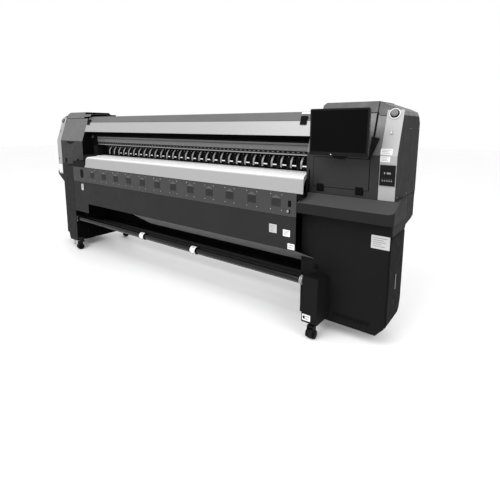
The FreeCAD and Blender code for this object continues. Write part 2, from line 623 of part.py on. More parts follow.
group("rear_stands", [rear_stand(x) for x in (SUPPLY_X[0] - 70, SUPPLY_X[1] + 10)])
supply = rod(SUPPLY_X[0], *SUPPLY, D["supply_radius"], SUPPLY_X[1] - SUPPLY_X[0])
supply = supply.cut(rod(SUPPLY_X[0] + 12, *SUPPLY, D["supply_radius"] - 5, SUPPLY_X[1] - SUPPLY_X[0] - 24))
supply_journal = rod(SUPPLY_X[0] - 85, *SUPPLY, 12, SUPPLY_X[1] - SUPPLY_X[0] + 170)
group("supply_shaft", [supply.fuse(supply_journal).removeSplitter()])
flange_bore = rod(-1700, *SUPPLY, D["supply_radius"] + D["running"], 3400)
group("supply_flanges", [rod(x, *SUPPLY, 70, 14).cut(flange_bore) for x in (-1560, 1506)])

# ---------------------------------------------------------------- casters and feet
CASTERS = {"front_right": (1845, -379.5, 128), "front_left": (-1625, -320, 128),
           "rear_right": (1600, 400, 128), "rear_left": (-1640, 400, 128)}
for where, (cx, cy, top) in CASTERS.items():
    wheel_y = cy - D["caster_trail"]
    radius = D["caster_radius"]
    plate = rod(cx, cy, top - 22, 24, 12, V(0, 0, 1))
    stem = rod(cx, cy, top - 12, 8, 11.6, V(0, 0, 1))
    low_y = min(cy, wheel_y) - 22
    high_y = max(cy, wheel_y) + 22
    crown = bar(cx - 29, cx + 29, low_y, high_y, top - 34, top - 22)
    cheeks = [bar(cx + side, cx + side + 4, wheel_y - 22, wheel_y + 22, radius - 16, top - 30)
              for side in (-29, 25)]
    fork = crown.fuse([plate, stem] + cheeks)
    fork = fork.cut(rod(cx - 40, wheel_y, radius, 5 + D["running"], 80)).removeSplitter()
    group("caster_fork_" + where, [fork])
    wheel = rod(cx - 22, wheel_y, radius, radius, 44)
    axle = rod(cx - 31, wheel_y, radius, 5, 62)
    group("caster_wheel_" + where, [wheel.fuse(axle).removeSplitter()])
block("left_foot_bracket", ("wall_left", -1600), (-344, -290), (128, 140))

feet = []
for foot_x in (1740, 2200, -2190, -2040):
    for foot_y in (-40, 60):
        z_top = D["casing_bottom"] if foot_x > 0 else D["cabinet_bottom"]
        pad = rod(foot_x, foot_y, 0, 32, 16, V(0, 0, 1))
        feet.append(pad.fuse(rod(foot_x, foot_y, 16, 9, z_top - 16, V(0, 0, 1))))
group("levelling_feet", feet)

# ---------------------------------------------------------------- door, monitor and controls
prism("access_door", "xz", rectangle(1716, 1170, 2158, 1398), "tower_front - 4", "tower_front - 1")
group("door_hinges", [bar(x - 28, x + 28, -210, -199.5, 1146, 1166) for x in (1778, 2092)])

MONITOR = {"x": 1980, "z": 1592, "front": -367.5, "width": 438, "height": 332, "depth": 38}
block("monitor_case", (MONITOR["x"] - MONITOR["width"] / 2, MONITOR["x"] + MONITOR["width"] / 2),
      (MONITOR["front"], MONITOR["front"] + MONITOR["depth"]),
      (MONITOR["z"] - MONITOR["height"] / 2, MONITOR["z"] + MONITOR["height"] / 2))
arm_back = slope_y(1560)
arm_yoke = bar(1930, 2030, -292, -280, 1540, 1644)
arm_post = bar(1950, 2010, -280, -190, 1560, 1590)
arm_foot = extrude_yz([(slope_y(1520) - 14, 1520), (slope_y(1640) - 14, 1640), (slope_y(1640) - 0.5, 1640),
                       (slope_y(1520) - 0.5, 1520)], 1900, 2060)
arm_link = bar(1950, 2010, -200, -150, 1560, 1590)
arm_shape = arm_yoke.fuse([arm_post, arm_link, arm_foot])
trim = extrude_yz([(slope_y(1500) - 0.5, 1500), (slope_y(1700) - 0.5, 1700), (100, 1700), (100, 1500)],
                  1890, 2070)
arm_shape = arm_shape.cut(trim).removeSplitter()
pivot_hole = rod(1925, -310, 1592, 7 + D["running"], 120)
lug = bar(1935, 1950, -324, -292, 1579, 1605).fuse(bar(2010, 2025, -324, -292, 1579, 1605))
group("monitor_arm", [arm_shape.fuse(lug).cut(pivot_hole).removeSplitter()])
knuckle = bar(1952, 2008, -329.5, -298, 1580, 1604)
group("monitor_knuckle", [knuckle.fuse(rod(1930, -310, 1592, 7, 100)).removeSplitter()])

# Distance from the sloped panels out to the seats on the silver strips.
STRIP_FACE = 3.15
ESTOPS = {"right": (2285, 1722), "left": (-2296, 1700)}
slope_run = D["slope_back"] - D["tower_front"]
slope_rise = D["slope_top"] - D["crease"]
slope_length = math.hypot(slope_run, slope_rise)
OUT = V(0, -slope_rise / slope_length, slope_run / slope_length)
for side, (ex, ez) in ESTOPS.items():
    seat = V(ex, slope_y(ez, -STRIP_FACE), ez)
    ring = Part.makeCylinder(42, 8, seat, OUT).cut(Part.makeCylinder(11, 20, seat - OUT * 5, OUT))
    group(side + "_stop_ring", [ring])
    stem = Part.makeCylinder(10.5, 8, seat + OUT * 5.5, OUT)
    head = Part.makeCylinder(26, 14, seat + OUT * 13, OUT)
    group(side + "_stop_button", [stem.fuse(head).removeSplitter()])

key_seat = V(2285, slope_y(1587, -STRIP_FACE), 1587)
key_base = Part.makeCylinder(12, 5, key_seat, OUT)
key_bar = Part.makeBox(5, 12, 20, V(-2.5, -12, -10))
key_bar.Placement = FreeCAD.Placement(key_seat + OUT * 4, FreeCAD.Rotation(V(0, -1, 0), OUT))
group("key_switch", [key_base.fuse(key_bar).removeSplitter()])

PANEL = {"x0": 2236, "x1": 2342, "z0": 1220, "z1": 1366}
button_x = [2289 + (i - 2) * D["button_pitch"] for i in range(5)]
BUTTON_Z = 1256
panel = bar(PANEL["x0"], PANEL["x1"], -206, -198.2, PANEL["z0"], PANEL["z1"])
for bx in button_x:
    panel = panel.cut(rod(bx, -210, BUTTON_Z, 4.3, 7, V(0, 1, 0)))
panel = panel.cut(bar(2262, 2316, -210, -203, 1296, 1324))
group("panel_bezel", [panel])
group("panel_display", [bar(2263, 2315, -206.5, -203.1, 1297, 1323)])
for index, bx in enumerate(button_x, start=1):
    group("panel_button_%d" % index, [rod(bx, -209, BUTTON_Z, 4, 4.5, V(0, 1, 0))])

# ---------------------------------------------------------------- pieces that share a node
JOINED = {
    "base_frame": ["main_crossbeam", "lower_crossbeam", "fascia_brackets", "pedestal_frames", "beam_posts"],
    "rail_and_encoder": ["linear_rail", "encoder_strip"],
    "drive_motor": ["carriage_motor", "pulley_pins"],
    "bearing_blocks": ["carriage_bearings", "belt_clamp"],
    "tower_decks_and_stations": ["tower_decks", "service_tray", "capping_station"],
    "feed_table_and_bearings": ["feed_table", "feed_table_support", "roller_bearings", "pinch_hangers"],
    "pinch_levers": ["pinch_arms", "pinch_shaft"],
    "tower_walls": ["right_inner_wall", "left_inner_wall", "right_side_panel", "left_side_panel"],
    "tower_fronts": ["right_front_panel", "left_front_panel", "right_slope_panel", "left_slope_panel"],
    "silver_strips": ["right_silver_strip", "left_silver_strip"],
    "tower_end_caps": ["right_end_cap", "left_end_cap"],
    "back_panels": ["right_back_panel", "left_back_panel", "rear_cover", "lower_back_panel", "feed_shield",
                    "back_slopes"],
    "top_cover": ["beam_cover", "tower_roofs", "left_roof_step"],
    "skirt_casings": ["right_skirt_casing", "left_skirt_casing"],
    "cabinet_casings": ["right_cabinet_casing", "left_cabinet_casing"],
    "left_leg": ["left_front_leg", "left_bearing_plate", "left_foot_bracket", "dancer_pivots"],
    "supply_roll_shaft": ["supply_shaft", "supply_flanges"],
    "rear_unwinder_stands": ["rear_stands", "caster_fork_rear_right", "caster_fork_rear_left"],
    "rear_caster_wheels": ["caster_wheel_rear_right", "caster_wheel_rear_left"],
    "panel_hinges": ["cover_hinges", "door_hinges"],
    "stop_button_rings": ["right_stop_ring", "left_stop_ring"],
    "control_panel": ["panel_bezel", "panel_display"],
    "monitor": ["monitor_case", "monitor_knuckle"],
}
for node, labels in JOINED.items():
    members = [part for part in PARTS if part.Label in labels]
    joined = doc.addObject("Part::Compound", "joined_" + node)
    joined.Links = members
    for part in members:
        PARTS.remove(part)
    keep(joined, node)

# ---------------------------------------------------------------- write the files
doc.recompute()
failed = [o.Name for o in doc.Objects if "Invalid" in o.State or "Error" in o.State]
if failed:
    raise SystemExit("failed objects: %s" % failed)
for part in PARTS:
    if part.Shape.isNull() or not part.Shape.isValid() or not part.Shape.Solids:
        raise SystemExit("bad shape: " + part.Label)
if len(PARTS) > 60:
    raise SystemExit("too many files: %d" % len(PARTS))
os.makedirs("parts", exist_ok=True)
for part in PARTS:
    part.Shape.exportStep("parts/%s.step" % part.Label)
print(len(PARTS), "parts written")
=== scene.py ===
import math

import bmesh
import bpy
from mathutils import Matrix, Vector


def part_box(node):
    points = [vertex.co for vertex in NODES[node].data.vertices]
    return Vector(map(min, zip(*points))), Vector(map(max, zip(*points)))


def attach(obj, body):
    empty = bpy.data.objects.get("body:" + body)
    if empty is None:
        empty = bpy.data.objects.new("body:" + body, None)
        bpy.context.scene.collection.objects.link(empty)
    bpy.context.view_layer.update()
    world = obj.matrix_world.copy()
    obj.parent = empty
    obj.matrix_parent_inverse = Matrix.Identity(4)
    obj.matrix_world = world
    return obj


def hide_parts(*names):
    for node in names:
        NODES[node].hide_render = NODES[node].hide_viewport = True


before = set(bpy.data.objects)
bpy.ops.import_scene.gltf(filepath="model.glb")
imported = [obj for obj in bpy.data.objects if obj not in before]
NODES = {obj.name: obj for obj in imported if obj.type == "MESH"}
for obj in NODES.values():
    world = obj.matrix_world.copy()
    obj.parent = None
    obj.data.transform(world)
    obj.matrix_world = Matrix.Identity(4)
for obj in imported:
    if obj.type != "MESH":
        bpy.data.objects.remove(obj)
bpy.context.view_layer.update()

# Looks of a grand-format roll-to-roll inkjet printer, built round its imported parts.
# Lengths in the helpers' placements are millimetres; the scene itself is in metres.

MM = 0.001
AXIS_X, AXIS_Y, AXIS_Z = Vector((1, 0, 0)), Vector((0, 1, 0)), Vector((0, 0, 1))


def limits(node):
    """A part's box in millimetres: x0, x1, y0, y1, z0, z1."""
    low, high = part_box(node)
    return [value / MM for pair in zip(low, high) for value in pair]


# ------------------------------------------------------------------ places on the machine
FASCIA_X0, FASCIA_X1, FASCIA_Y = limits("fascia_upper")[:3]
TOWER_X0, TOWER_X1, _, TOWER_BACK, _, _ = limits("tower_walls")
TOWER_Y = limits("tower_fronts")[2]
DOOR_X0, DOOR_X1, DOOR_Y, _, DOOR_Z0, DOOR_Z1 = limits("access_door")
CABINET_X0, CABINET_X1, CABINET_Y = limits("right_cabinet_front")[:3]
CASING_X1 = limits("cabinet_casings")[1]
STRIP_Y = limits("silver_strips")[2]
CREASE_Z = 1430.0
SLOPE_TOP_Z = 1712.0
SLOPE_RUN = 98.0
SLOPE_RISE = SLOPE_TOP_Z - CREASE_Z
UP_SLOPE = Vector((0, SLOPE_RUN, SLOPE_RISE)).normalized()
OUT_SLOPE = AXIS_X.cross(UP_SLOPE)
STRIP_LIFT = 3.15
LEFT_WALL_X = -1690
GRIP_SLOT_X = 1677
DOOR_HINGE_X = (1778, 2092)
DOOR_PIN_Y, DOOR_PIN_Z = -202, 1168
COVER_HINGE_X = (-1640, 1570)
TAKE_UP_Y, TAKE_UP_Z = -310, 407
COLLAR_X = (-319, 486)
SUPPLY_Y, SUPPLY_Z = 330, 655
FOOT_X, FOOT_Y = (1740, 2200, -2190, -2040), (-40, 60)
LOUVRE_X, LOUVRE_PITCH, LOUVRE_COUNT = 1950, 24, 12


def slope_y(height):
    """Y on the sloped front of the towers at a height."""
    return TOWER_Y + (height - CREASE_Z) * SLOPE_RUN / SLOPE_RISE


# ------------------------------------------------------------------ placements
def placement(origin, right, up):
    """Maps millimetres in a plane (right, up, outward) to the scene's metres."""
    basis = Matrix((right, up, right.cross(up))).transposed().to_4x4()
    return Matrix.Translation(Vector(origin) * MM) @ basis @ Matrix.Scale(MM, 4)


def on_front(x, y, z):
    return placement((x, y, z), AXIS_X, AXIS_Z)


def on_back(x, y, z):
    return placement((x, y, z), -AXIS_X, AXIS_Z)


def on_right(x, y, z):
    return placement((x, y, z), AXIS_Y, AXIS_Z)


def on_left(x, y, z):
    return placement((x, y, z), -AXIS_Y, AXIS_Z)


def on_top(x, y, z):
    return placement((x, y, z), AXIS_X, AXIS_Y)


def on_slope(x, z, lift=0.0):
    origin = Vector((x, slope_y(z), z)) + OUT_SLOPE * lift
    return placement(origin, AXIS_X, UP_SLOPE)


# ------------------------------------------------------------------ outlines
def rectangle(x0, x1, y0, y1):
    return [(x0, y0), (x1, y0), (x1, y1), (x0, y1)]


def circle(radius, steps=32, x=0.0, y=0.0):
    turns = [2 * math.pi * i / steps for i in range(steps)]
    return [(x + radius * math.cos(t), y + radius * math.sin(t)) for t in turns]


def rounded(width, height, radius, steps=5, x=0.0, y=0.0):
    """Rectangle with round corners about a centre, anticlockwise."""
    points = []
    for corner, (sx, sy) in enumerate(((1, 1), (-1, 1), (-1, -1), (1, -1))):
        cx, cy = x + sx * (width / 2 - radius), y + sy * (height / 2 - radius)
        for i in range(steps + 1):
            turn = math.pi / 2 * (corner + i / steps)
            points.append((cx + radius * math.cos(turn), cy + radius * math.sin(turn)))
    return points


# ------------------------------------------------------------------ mesh building
class Shape:
    """A mesh made of closed forms, each added in the millimetres of a placement."""

    def __init__(self):
        self.bm = bmesh.new()

    def add(self, place, points, faces):
        verts = [self.bm.verts.new(place @ Vector(p)) for p in points]
        for face in faces:
            self.bm.faces.new([verts[i] for i in face])
        return self

    def prism(self, place, outline, low, high, taper=0.0):
        """Outline pushed from low to high along the placement's outward axis."""
        n = len(outline)
        cx = sum(p[0] for p in outline) / n
        cy = sum(p[1] for p in outline) / n
        scale = 1.0 - taper
        points = [(x, y, low) for x, y in outline]
        points += [(cx + (x - cx) * scale, cy + (y - cy) * scale, high) for x, y in outline]
        faces = [tuple(range(n))[::-1], tuple(range(n, 2 * n))]
        faces += [(i, (i + 1) % n, n + (i + 1) % n, n + i) for i in range(n)]
        return self.add(place, points, faces)

    def box(self, place, x0, x1, y0, y1, low, high):
        return self.prism(place, rectangle(x0, x1, y0, y1), low, high)

    def frame(self, place, outer, inner, low, high):
        """Flat ring between two outlines of as many points."""
        n = len(outer)
        points = [(x, y, h) for h in (low, high) for ring in (outer, inner) for x, y in ring]
        faces = []
        for i in range(n):
            j = (i + 1) % n
            faces += [(i, n + i, n + j, j), (2 * n + i, 2 * n + j, 3 * n + j, 3 * n + i),
                      (i, j, 2 * n + j, 2 * n + i), (n + i, 3 * n + i, 3 * n + j, n + j)]
        return self.add(place, points, faces)

    def lathe(self, place, profile, steps=32, closed=False):
        """(radius, height) points turned about the outward axis; radius 0 ends on the axis."""
        rings, points, faces = [], [], []
        for radius, height in profile:
            if radius == 0:
                rings.append([len(points)])
                points.append((0, 0, height))
            else:
                rings.append(list(range(len(points), len(points) + steps)))
                points += [(x, y, height) for x, y in circle(radius, steps)]
        pairs = list(zip(rings, rings[1:])) + ([(rings[-1], rings[0])] if closed else [])
        for a, b in pairs:
            for i in range(steps):
                j = (i + 1) % steps
                corners = [a[i % len(a)], a[j % len(a)], b[j % len(b)], b[i % len(b)]]
                faces.append(tuple(dict.fromkeys(corners)))
        return self.add(place, points, faces)

    def rod(self, start, end, radius, steps=16):
        """Round bar between two points given in millimetres."""
        a, b = Vector(start), Vector(end)
        along = (b - a).normalized()
        side = along.orthogonal().normalized()
        place = placement(a, side, along.cross(side))
        length = (b - a).length
        soft = min(radius * 0.25, 1.0)
        return self.lathe(place, [(0, 0), (radius - soft, 0), (radius, soft), (radius, length - soft),
                                  (radius - soft, length), (0, length)], steps)


def piece(name, shape, material, body, bevel=0.0):
    """Turns a shape into an object that rides on a body."""
    mesh = bpy.data.meshes.new(name)
    bmesh.ops.recalc_face_normals(shape.bm, faces=shape.bm.faces)
    shape.bm.to_mesh(mesh)
    shape.bm.free()
    mesh.polygons.foreach_set("use_smooth", [True] * len(mesh.polygons))
    mesh.set_sharp_from_angle(angle=math.radians(35))
    mesh.materials.append(material)
    obj = bpy.data.objects.new(name, mesh)
    bpy.context.scene.collection.objects.link(obj)
    if bevel:
        soften(obj, bevel)
    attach(obj, body)
    return obj


def soften(obj, width, weld=False):
    """Rounds sharp edges by a width in millimetres."""
    if weld:
        obj.modifiers.new("weld", "WELD").merge_threshold = 0.00001
    edge = obj.modifiers.new("edges", "BEVEL")
    edge.width = width * MM
    edge.segments = 2
    edge.limit_method = "ANGLE"
    edge.angle_limit = math.radians(40)
    edge.use_clamp_overlap = True
    obj.modifiers.new("shading", "WEIGHTED_NORMAL").keep_sharp = True


# ------------------------------------------------------------------ materials
class Finish:
    """A node material: noise drives its colour, roughness and bump."""

    def __init__(self, name, color, rough, metallic=0.0):
        self.material = bpy.data.materials.new(name)
        self.material.use_nodes = True
        self.tree = self.material.node_tree
        self.shader = self.tree.nodes["Principled BSDF"]
        self.color = color
        self.rough = rough
        self.shader.inputs["Metallic"].default_value = metallic
        self.coords = self.tree.nodes.new("ShaderNodeTexCoord").outputs["Object"]
        self.material.diffuse_color = (*color, 1)

    def node(self, kind, **values):
        made = self.tree.nodes.new("ShaderNode" + kind)
        for key, value in values.items():
            if key in made.inputs:
                made.inputs[key].default_value = value
            else:
                setattr(made, key, value)
        return made

    def link(self, source, target):
        self.tree.links.new(source, target)

    def noise(self, scale, detail=2.0, stretch=(1, 1, 1)):
        mapping = self.node("Mapping")
        mapping.inputs["Scale"].default_value = stretch
        self.link(self.coords, mapping.inputs["Vector"])
        texture = self.node("TexNoise", Scale=scale, Detail=detail)
        self.link(mapping.outputs["Vector"], texture.inputs["Vector"])
        return texture.outputs["Fac"]

    def spread(self, source, low, high, start=0.3, end=0.7):
        """Maps a range of a value, by default the middle of a noise, to another range."""
        ramp = self.node("MapRange")
        for key, value in (("From Min", start), ("From Max", end), ("To Min", low), ("To Max", high)):
            ramp.inputs[key].default_value = value
        self.link(source, ramp.inputs["Value"])
        return ramp.outputs["Result"]

    def blend(self, share, first, second):
        """Mixes two colours into the base colour by a share."""
        mix = self.node("Mix", data_type="RGBA")
        self.link(share, mix.inputs["Factor"])
        mix.inputs[6].default_value = (*first, 1)
        mix.inputs[7].default_value = (*second, 1)
        self.link(mix.outputs[2], self.shader.inputs["Base Color"])

    def tint(self, source, amount):
        """Darkens and lightens the base colour by a share, following a noise."""
        dark = [c * (1 - amount) for c in self.color]
        pale = [min(1, c * (1 + amount)) for c in self.color]
        self.blend(self.spread(source, 0.0, 1.0), dark, pale)

    def gloss(self, source, change):
        low, high = max(0.02, self.rough - change), min(1.0, self.rough + change)
        self.link(self.spread(source, low, high), self.shader.inputs["Roughness"])

    def bump(self, source, strength, depth):
        bump = self.node("Bump", Strength=strength, Distance=depth * MM)
        self.link(source, bump.inputs["Height"])
        self.link(bump.outputs["Normal"], self.shader.inputs["Normal"])

    def set(self, **values):
        for key, value in values.items():
            self.shader.inputs[key.replace("_", " ")].default_value = value


def powder_coat(name, color, rough=0.42, shine=0.2, grain=0.25, mottle=0.06):
    """Baked paint with a fine orange-peel skin and faint handling marks."""
    finish = Finish(name, color, rough)
    finish.tint(finish.noise(2.3, 4.0), mottle)
    finish.gloss(finish.noise(14.0, 5.0), 0.08)
    finish.bump(finish.noise(750.0, 3.0), grain, 0.25)
    finish.set(Specular_IOR_Level=shine)
    return finish.material


def brushed(name, color, rough=0.3, stretch=(1, 60, 60), metallic=0.9, mottle=0.1):
    """Metal with fine lines along one direction."""
    finish = Finish(name, color, rough, metallic)
    lines = finish.noise(45.0, 6.0, stretch)
    finish.tint(lines, mottle)
    finish.gloss(lines, 0.07)
    finish.bump(lines, 0.12, 0.06)
    return finish.material


def folded_sheet(name, front, top, rough, shine):
    """Paint with a paler colour on upper faces, which stands in for light from above."""
    finish = Finish(name, top, rough)
    tilt = finish.node("SeparateXYZ")
    finish.link(finish.node("NewGeometry").outputs["Normal"], tilt.inputs["Vector"])
    finish.blend(finish.spread(tilt.outputs["Z"], 0.0, 1.0, 0.2, 0.85), front, top)
    finish.gloss(finish.noise(14.0, 5.0), 0.06)
    finish.bump(finish.noise(750.0, 3.0), 0.1, 0.1)
    finish.set(Specular_IOR_Level=shine)
    return finish.material


def moulded(name, color, rough=0.5, grain=0.3, shine=0.2):
    """Plastic with a spark-eroded texture."""
    finish = Finish(name, color, rough)
    finish.tint(finish.noise(9.0, 3.0), 0.08)
    finish.gloss(finish.noise(60.0, 4.0), 0.06)
    finish.bump(finish.noise(1100.0, 2.0), grain, 0.15)
    finish.set(Specular_IOR_Level=shine)
    return finish.material


def glossy(name, color, rough, shine):
    """Lacquered or glassy surface with faint smears."""
    finish = Finish(name, color, rough)
    finish.tint(finish.noise(5.0, 4.0), 0.1)
    finish.gloss(finish.noise(11.0, 6.0), 0.05)
    finish.bump(finish.noise(380.0, 2.0), 0.03, 0.05)
    finish.set(Specular_IOR_Level=shine)
    return finish.material


def rubbery(name, color):
    finish = Finish(name, color, 0.75)
    finish.tint(finish.noise(35.0, 5.0), 0.25)
    finish.gloss(finish.noise(90.0, 3.0), 0.1)
    finish.bump(finish.noise(900.0, 3.0), 0.4, 0.3)
    finish.set(Specular_IOR_Level=0.1)
    return finish.material


def glowing(name, color, strength):
    finish = Finish(name, color, 0.3)
    finish.tint(finish.noise(200.0, 1.0), 0.15)
    finish.set(Emission_Color=(*color, 1), Emission_Strength=strength)
    return finish.material


def grey(level, blue=0.0):
    return (level, level, level * (1 + blue))


LIGHT_PAINT = powder_coat("light_grey_paint", grey(0.088, 0.02), 0.36, 0.5)
HOOD_PAINT = powder_coat("hood_paint", grey(0.036, 0.02), 0.38, 0.4)
SLOPE_PAINT = powder_coat("slope_paint", grey(0.085, 0.02), 0.36, 0.5)
DARK_PAINT = powder_coat("dark_grey_paint", grey(0.02, 0.02), 0.45, 0.18)
LEG_PAINT = powder_coat("leg_paint", grey(0.014, 0.02), 0.5, 0.06)
LIP_PAINT = powder_coat("lip_paint", grey(0.1, 0.02), 0.5, 0.1)
DESK_PAINT = folded_sheet("desk_paint", grey(0.016), grey(0.056), 0.45, 0.02)
SIDE_PAINT = powder_coat("side_paint", grey(0.03, 0.02), 0.6, 0.01)
BLACK_PAINT = powder_coat("black_paint", grey(0.008, 0.03), 0.5, 0.04)
CASING_PAINT = powder_coat("casing_paint", grey(0.011, 0.03), 0.6, 0.01)
FRAME_PAINT = powder_coat("frame_paint", grey(0.01, 0.03), 0.5, 0.05)
FASCIA_PAINT = powder_coat("fascia_paint", grey(0.042, 0.02), 0.5, 0.12)
# Darker grey for the vent wells, as painted shade inside the perforations.
VENT_SHADE = moulded("vent_painted_shade", grey(0.024), 0.6)
FASCIA_LOW_PAINT = powder_coat("fascia_low_paint", grey(0.02, 0.02), 0.5, 0.06)
GUSSET_PAINT = powder_coat("gusset_paint", grey(0.1, 0.02), 0.5, 0.1)
SILVER = brushed("silver_panel", grey(0.33), 0.46, (1, 45, 1.5), 0.3, 0.06)
STRIP_SILVER = brushed("silver_strip", grey(0.31), 0.5, (45, 1, 1), 0.2, 0.07)
PLATEN_WHITE = folded_sheet("platen_white", grey(0.28), grey(0.72), 0.35, 0.3)
ALUMINIUM = brushed("aluminium", grey(0.12), 0.42, (1, 70, 70), 0.3)
STEEL = brushed("steel", grey(0.42), 0.3, (1, 80, 80), 1.0)
ZINC = brushed("zinc", grey(0.4), 0.35, (3, 3, 3), 0.9, 0.2)
CHROME = brushed("chrome", grey(0.32), 0.3, (5, 5, 5), 1.0, 0.05)
DARK_STEEL = brushed("dark_steel", grey(0.02), 0.5, (1, 80, 80), 0.3)
RUBBER = rubbery("rubber", grey(0.008))
BLACK_PLASTIC = moulded("black_plastic", grey(0.003), 0.5, shine=0.04)
GLOSS_BLACK = glossy("gloss_black", grey(0.004), 0.3, 0.12)
SCREEN_GLASS = glossy("screen_glass", grey(0.002), 0.2, 0.04)
TUBE_BLACK = glossy("tube_black", grey(0.004), 0.16, 0.25)
GREY_PLASTIC = moulded("grey_plastic", grey(0.16), 0.4)
WHITE_PLASTIC = moulded("white_plastic", grey(0.7), 0.4)
LEVER_METAL = brushed("lever_metal", grey(0.24), 0.34, (4, 4, 4), 0.5, 0.12)
LABEL_WHITE = moulded("label_white", grey(0.7), 0.45, 0.1)
LABEL_SILVER = brushed("label_silver", grey(0.45), 0.4, (1, 1, 40), 0.4, 0.08)
PALE_INK = moulded("pale_ink", grey(0.25), 0.6, 0.1)
LED = glowing("led", grey(0.5), 0.5)
DIGITS = glowing("digits", grey(0.25), 0.15)
VOID = moulded("void", grey(0.003), 0.9, 0.1, 0.02)

NODE_FINISH = {
    LIGHT_PAINT: ["top_cover", "left_hood"],
    HOOD_PAINT: ["tower_end_caps", "right_hood"],
    SIDE_PAINT: ["tower_walls", "skirt_casings"],
    DARK_PAINT: ["tower_fronts", "back_panels", "access_door", "carriage_body"],
    DESK_PAINT: ["desk_shelf"],
    BLACK_PAINT: ["tower_decks_and_stations", "feed_table_and_bearings", "dancer_bar", "right_cabinet_front",
                  "take_up_gearbox", "monitor_arm"],
    CASING_PAINT: ["cabinet_casings"],
    FRAME_PAINT: ["base_frame", "rear_unwinder_stands", "caster_fork_front_right", "caster_fork_front_left"],
    FASCIA_PAINT: ["fascia_upper"],
    FASCIA_LOW_PAINT: ["fascia_lower"],
    LIP_PAINT: ["fascia_lip"],
    LEG_PAINT: ["left_leg"],
    STRIP_SILVER: ["silver_strips"],
    SILVER: ["front_cover"],
    ALUMINIUM: ["rail_beam", "idler_pulley", "drive_pulley", "supply_roll_shaft"],
    STEEL: ["rail_and_encoder", "levelling_feet", "print_heads", "bearing_blocks"],
    DARK_STEEL: ["grit_roller"],
    RUBBER: ["drive_belt", "pinch_rollers", "caster_wheel_front_right", "caster_wheel_front_left",
             "rear_caster_wheels"],
    BLACK_PLASTIC: ["drive_motor", "panel_hinges", "drying_fans", "pinch_levers"],
    GLOSS_BLACK: ["control_panel"],
    GREY_PLASTIC: ["panel_button_%d" % i for i in range(1, 6)],
    TUBE_BLACK: ["take_up_tube"],
    WHITE_PLASTIC: ["take_up_collars"],
}
EDGE_WIDTHS = {
    "tower_fronts": 1.5, "desk_shelf": 5.0, "skirt_casings": 3.0, "left_leg": 5.0, "access_door": 1.2,
    "carriage_body": 4.0, "cabinet_casings": 4.0, "right_cabinet_front": 1.5, "monitor_arm": 2.0,
    "right_hood": 6.0, "left_hood": 6.0, "tower_end_caps": 4.0, "fascia_upper": 1.2, "fascia_lower": 1.2,
    "silver_strips": 1.0, "control_panel": 1.5, "top_cover": 2.0, "tower_walls": 1.0,
    "rear_unwinder_stands": 3.0, "dancer_bar": 1.5, "panel_hinges": 1.0, "take_up_gearbox": 4.0,
}


def finish_cad_parts():
    for material, names in NODE_FINISH.items():
        for name in names:
            node = NODES[name]
            node.data.materials.clear()
            node.data.materials.append(material)
    # The slopes have a lighter paint, which stands in for the light that falls on them.
    fronts = NODES["tower_fronts"]
    fronts.data.materials.append(SLOPE_PAINT)
    for face in fronts.data.polygons:
        centre = fronts.matrix_world @ face.center
        face.material_index = 1 if centre.z > (CREASE_Z + 2) * MM else 0
    for name, width in EDGE_WIDTHS.items():
        soften(NODES[name], width, weld=True)


# ------------------------------------------------------------------ small repeated details
def screw(shape, place, radius):
    """Pan head with a round drive recess."""
    tall = radius * 0.55
    shape.lathe(place, [(0, -0.1), (radius, -0.1), (radius, tall * 0.4), (radius * 0.8, tall * 0.85),
                        (radius * 0.45, tall), (radius * 0.4, tall * 0.35), (0, tall * 0.35)], 12)


def add_screws(name, places, radius, material=ZINC, body="machine"):
    """Pan head screws at places, as one piece."""
    heads = Shape()
    for place in places:
        screw(heads, place, radius)
    piece(name, heads, material, body)


def shifted(place, x, y, out=0.0):
    return place @ Matrix.Translation((x, y, out))


def label(name, place, width, height, stock=LABEL_WHITE, lines=4):
    """Blank sticker with plain bars where print would be."""
    plate = Shape().prism(place, rounded(width, height, 2.5), 0.0, 0.6)
    piece(name, plate, stock, "machine")
    bars = Shape()
    step = height * 0.78 / lines
    for i in range(lines):
        y = height * 0.39 - step * (i + 0.5)
        reach = width * (0.78, 0.6, 0.7, 0.45, 0.66)[i % 5]
        bars.box(place, -width * 0.4, -width * 0.4 + reach, y - step * 0.2, y + step * 0.2, 0.6, 0.75)
    piece(name + "_bars", bars, PALE_INK, "machine")


def louvres(shape, place, width, height, count):
    """Pressed slats, each a wedge that opens downwards."""
    pitch = height / count
    for i in range(count):
        y = -height / 2 + pitch * (i + 0.2)
        side = [(0, y), (4.5, y + pitch * 0.05), (0, y + pitch * 0.62)]
        turned = place @ Matrix.Rotation(math.pi / 2, 4, "Y")
        shape.prism(turned, [(-a, b) for a, b in side], -width / 2, width / 2)


def finger_guard(shape, place, radius, rings=5):
    """Round wire guard with four spokes."""
    for i in range(rings):
        r = radius * (i + 1) / rings
        shape.lathe(shifted(place, 0, 0, 3), [(r - 1.2, 0), (r, -1.2), (r + 1.2, 0), (r, 1.2)], 40, True)
    for turn in range(4):
        spin = place @ Matrix.Rotation(math.pi / 4 + turn * math.pi / 2, 4, "Z")
        shape.box(spin, radius * 0.1, radius * 1.2, -1.3, 1.3, 0.2, 2.6)


def latch(name, place, width, height):
    """Flush paddle latch in a raised surround."""
    surround = Shape().frame(place, rounded(width, height, 4), rounded(width - 8, height - 8, 3), 0, 3)
    surround.prism(place, rounded(width - 7, height - 7, 3), 0, 1.2)
    surround.prism(shifted(place, 0, -height * 0.12), rounded(width - 12, height * 0.45, 2), 1.2, 4)
    piece(name, surround, BLACK_PLASTIC, "machine", 0.5)


# ------------------------------------------------------------------ fascia
def fan_centres():
    x0, x1, _, _, z0, z1 = limits("drying_fans")
    half = (z1 - z0) / 2
    pitch = (x1 - x0 - 2 * half) / 11
    return [x0 + half + i * pitch for i in range(12)], (z0 + z1) / 2


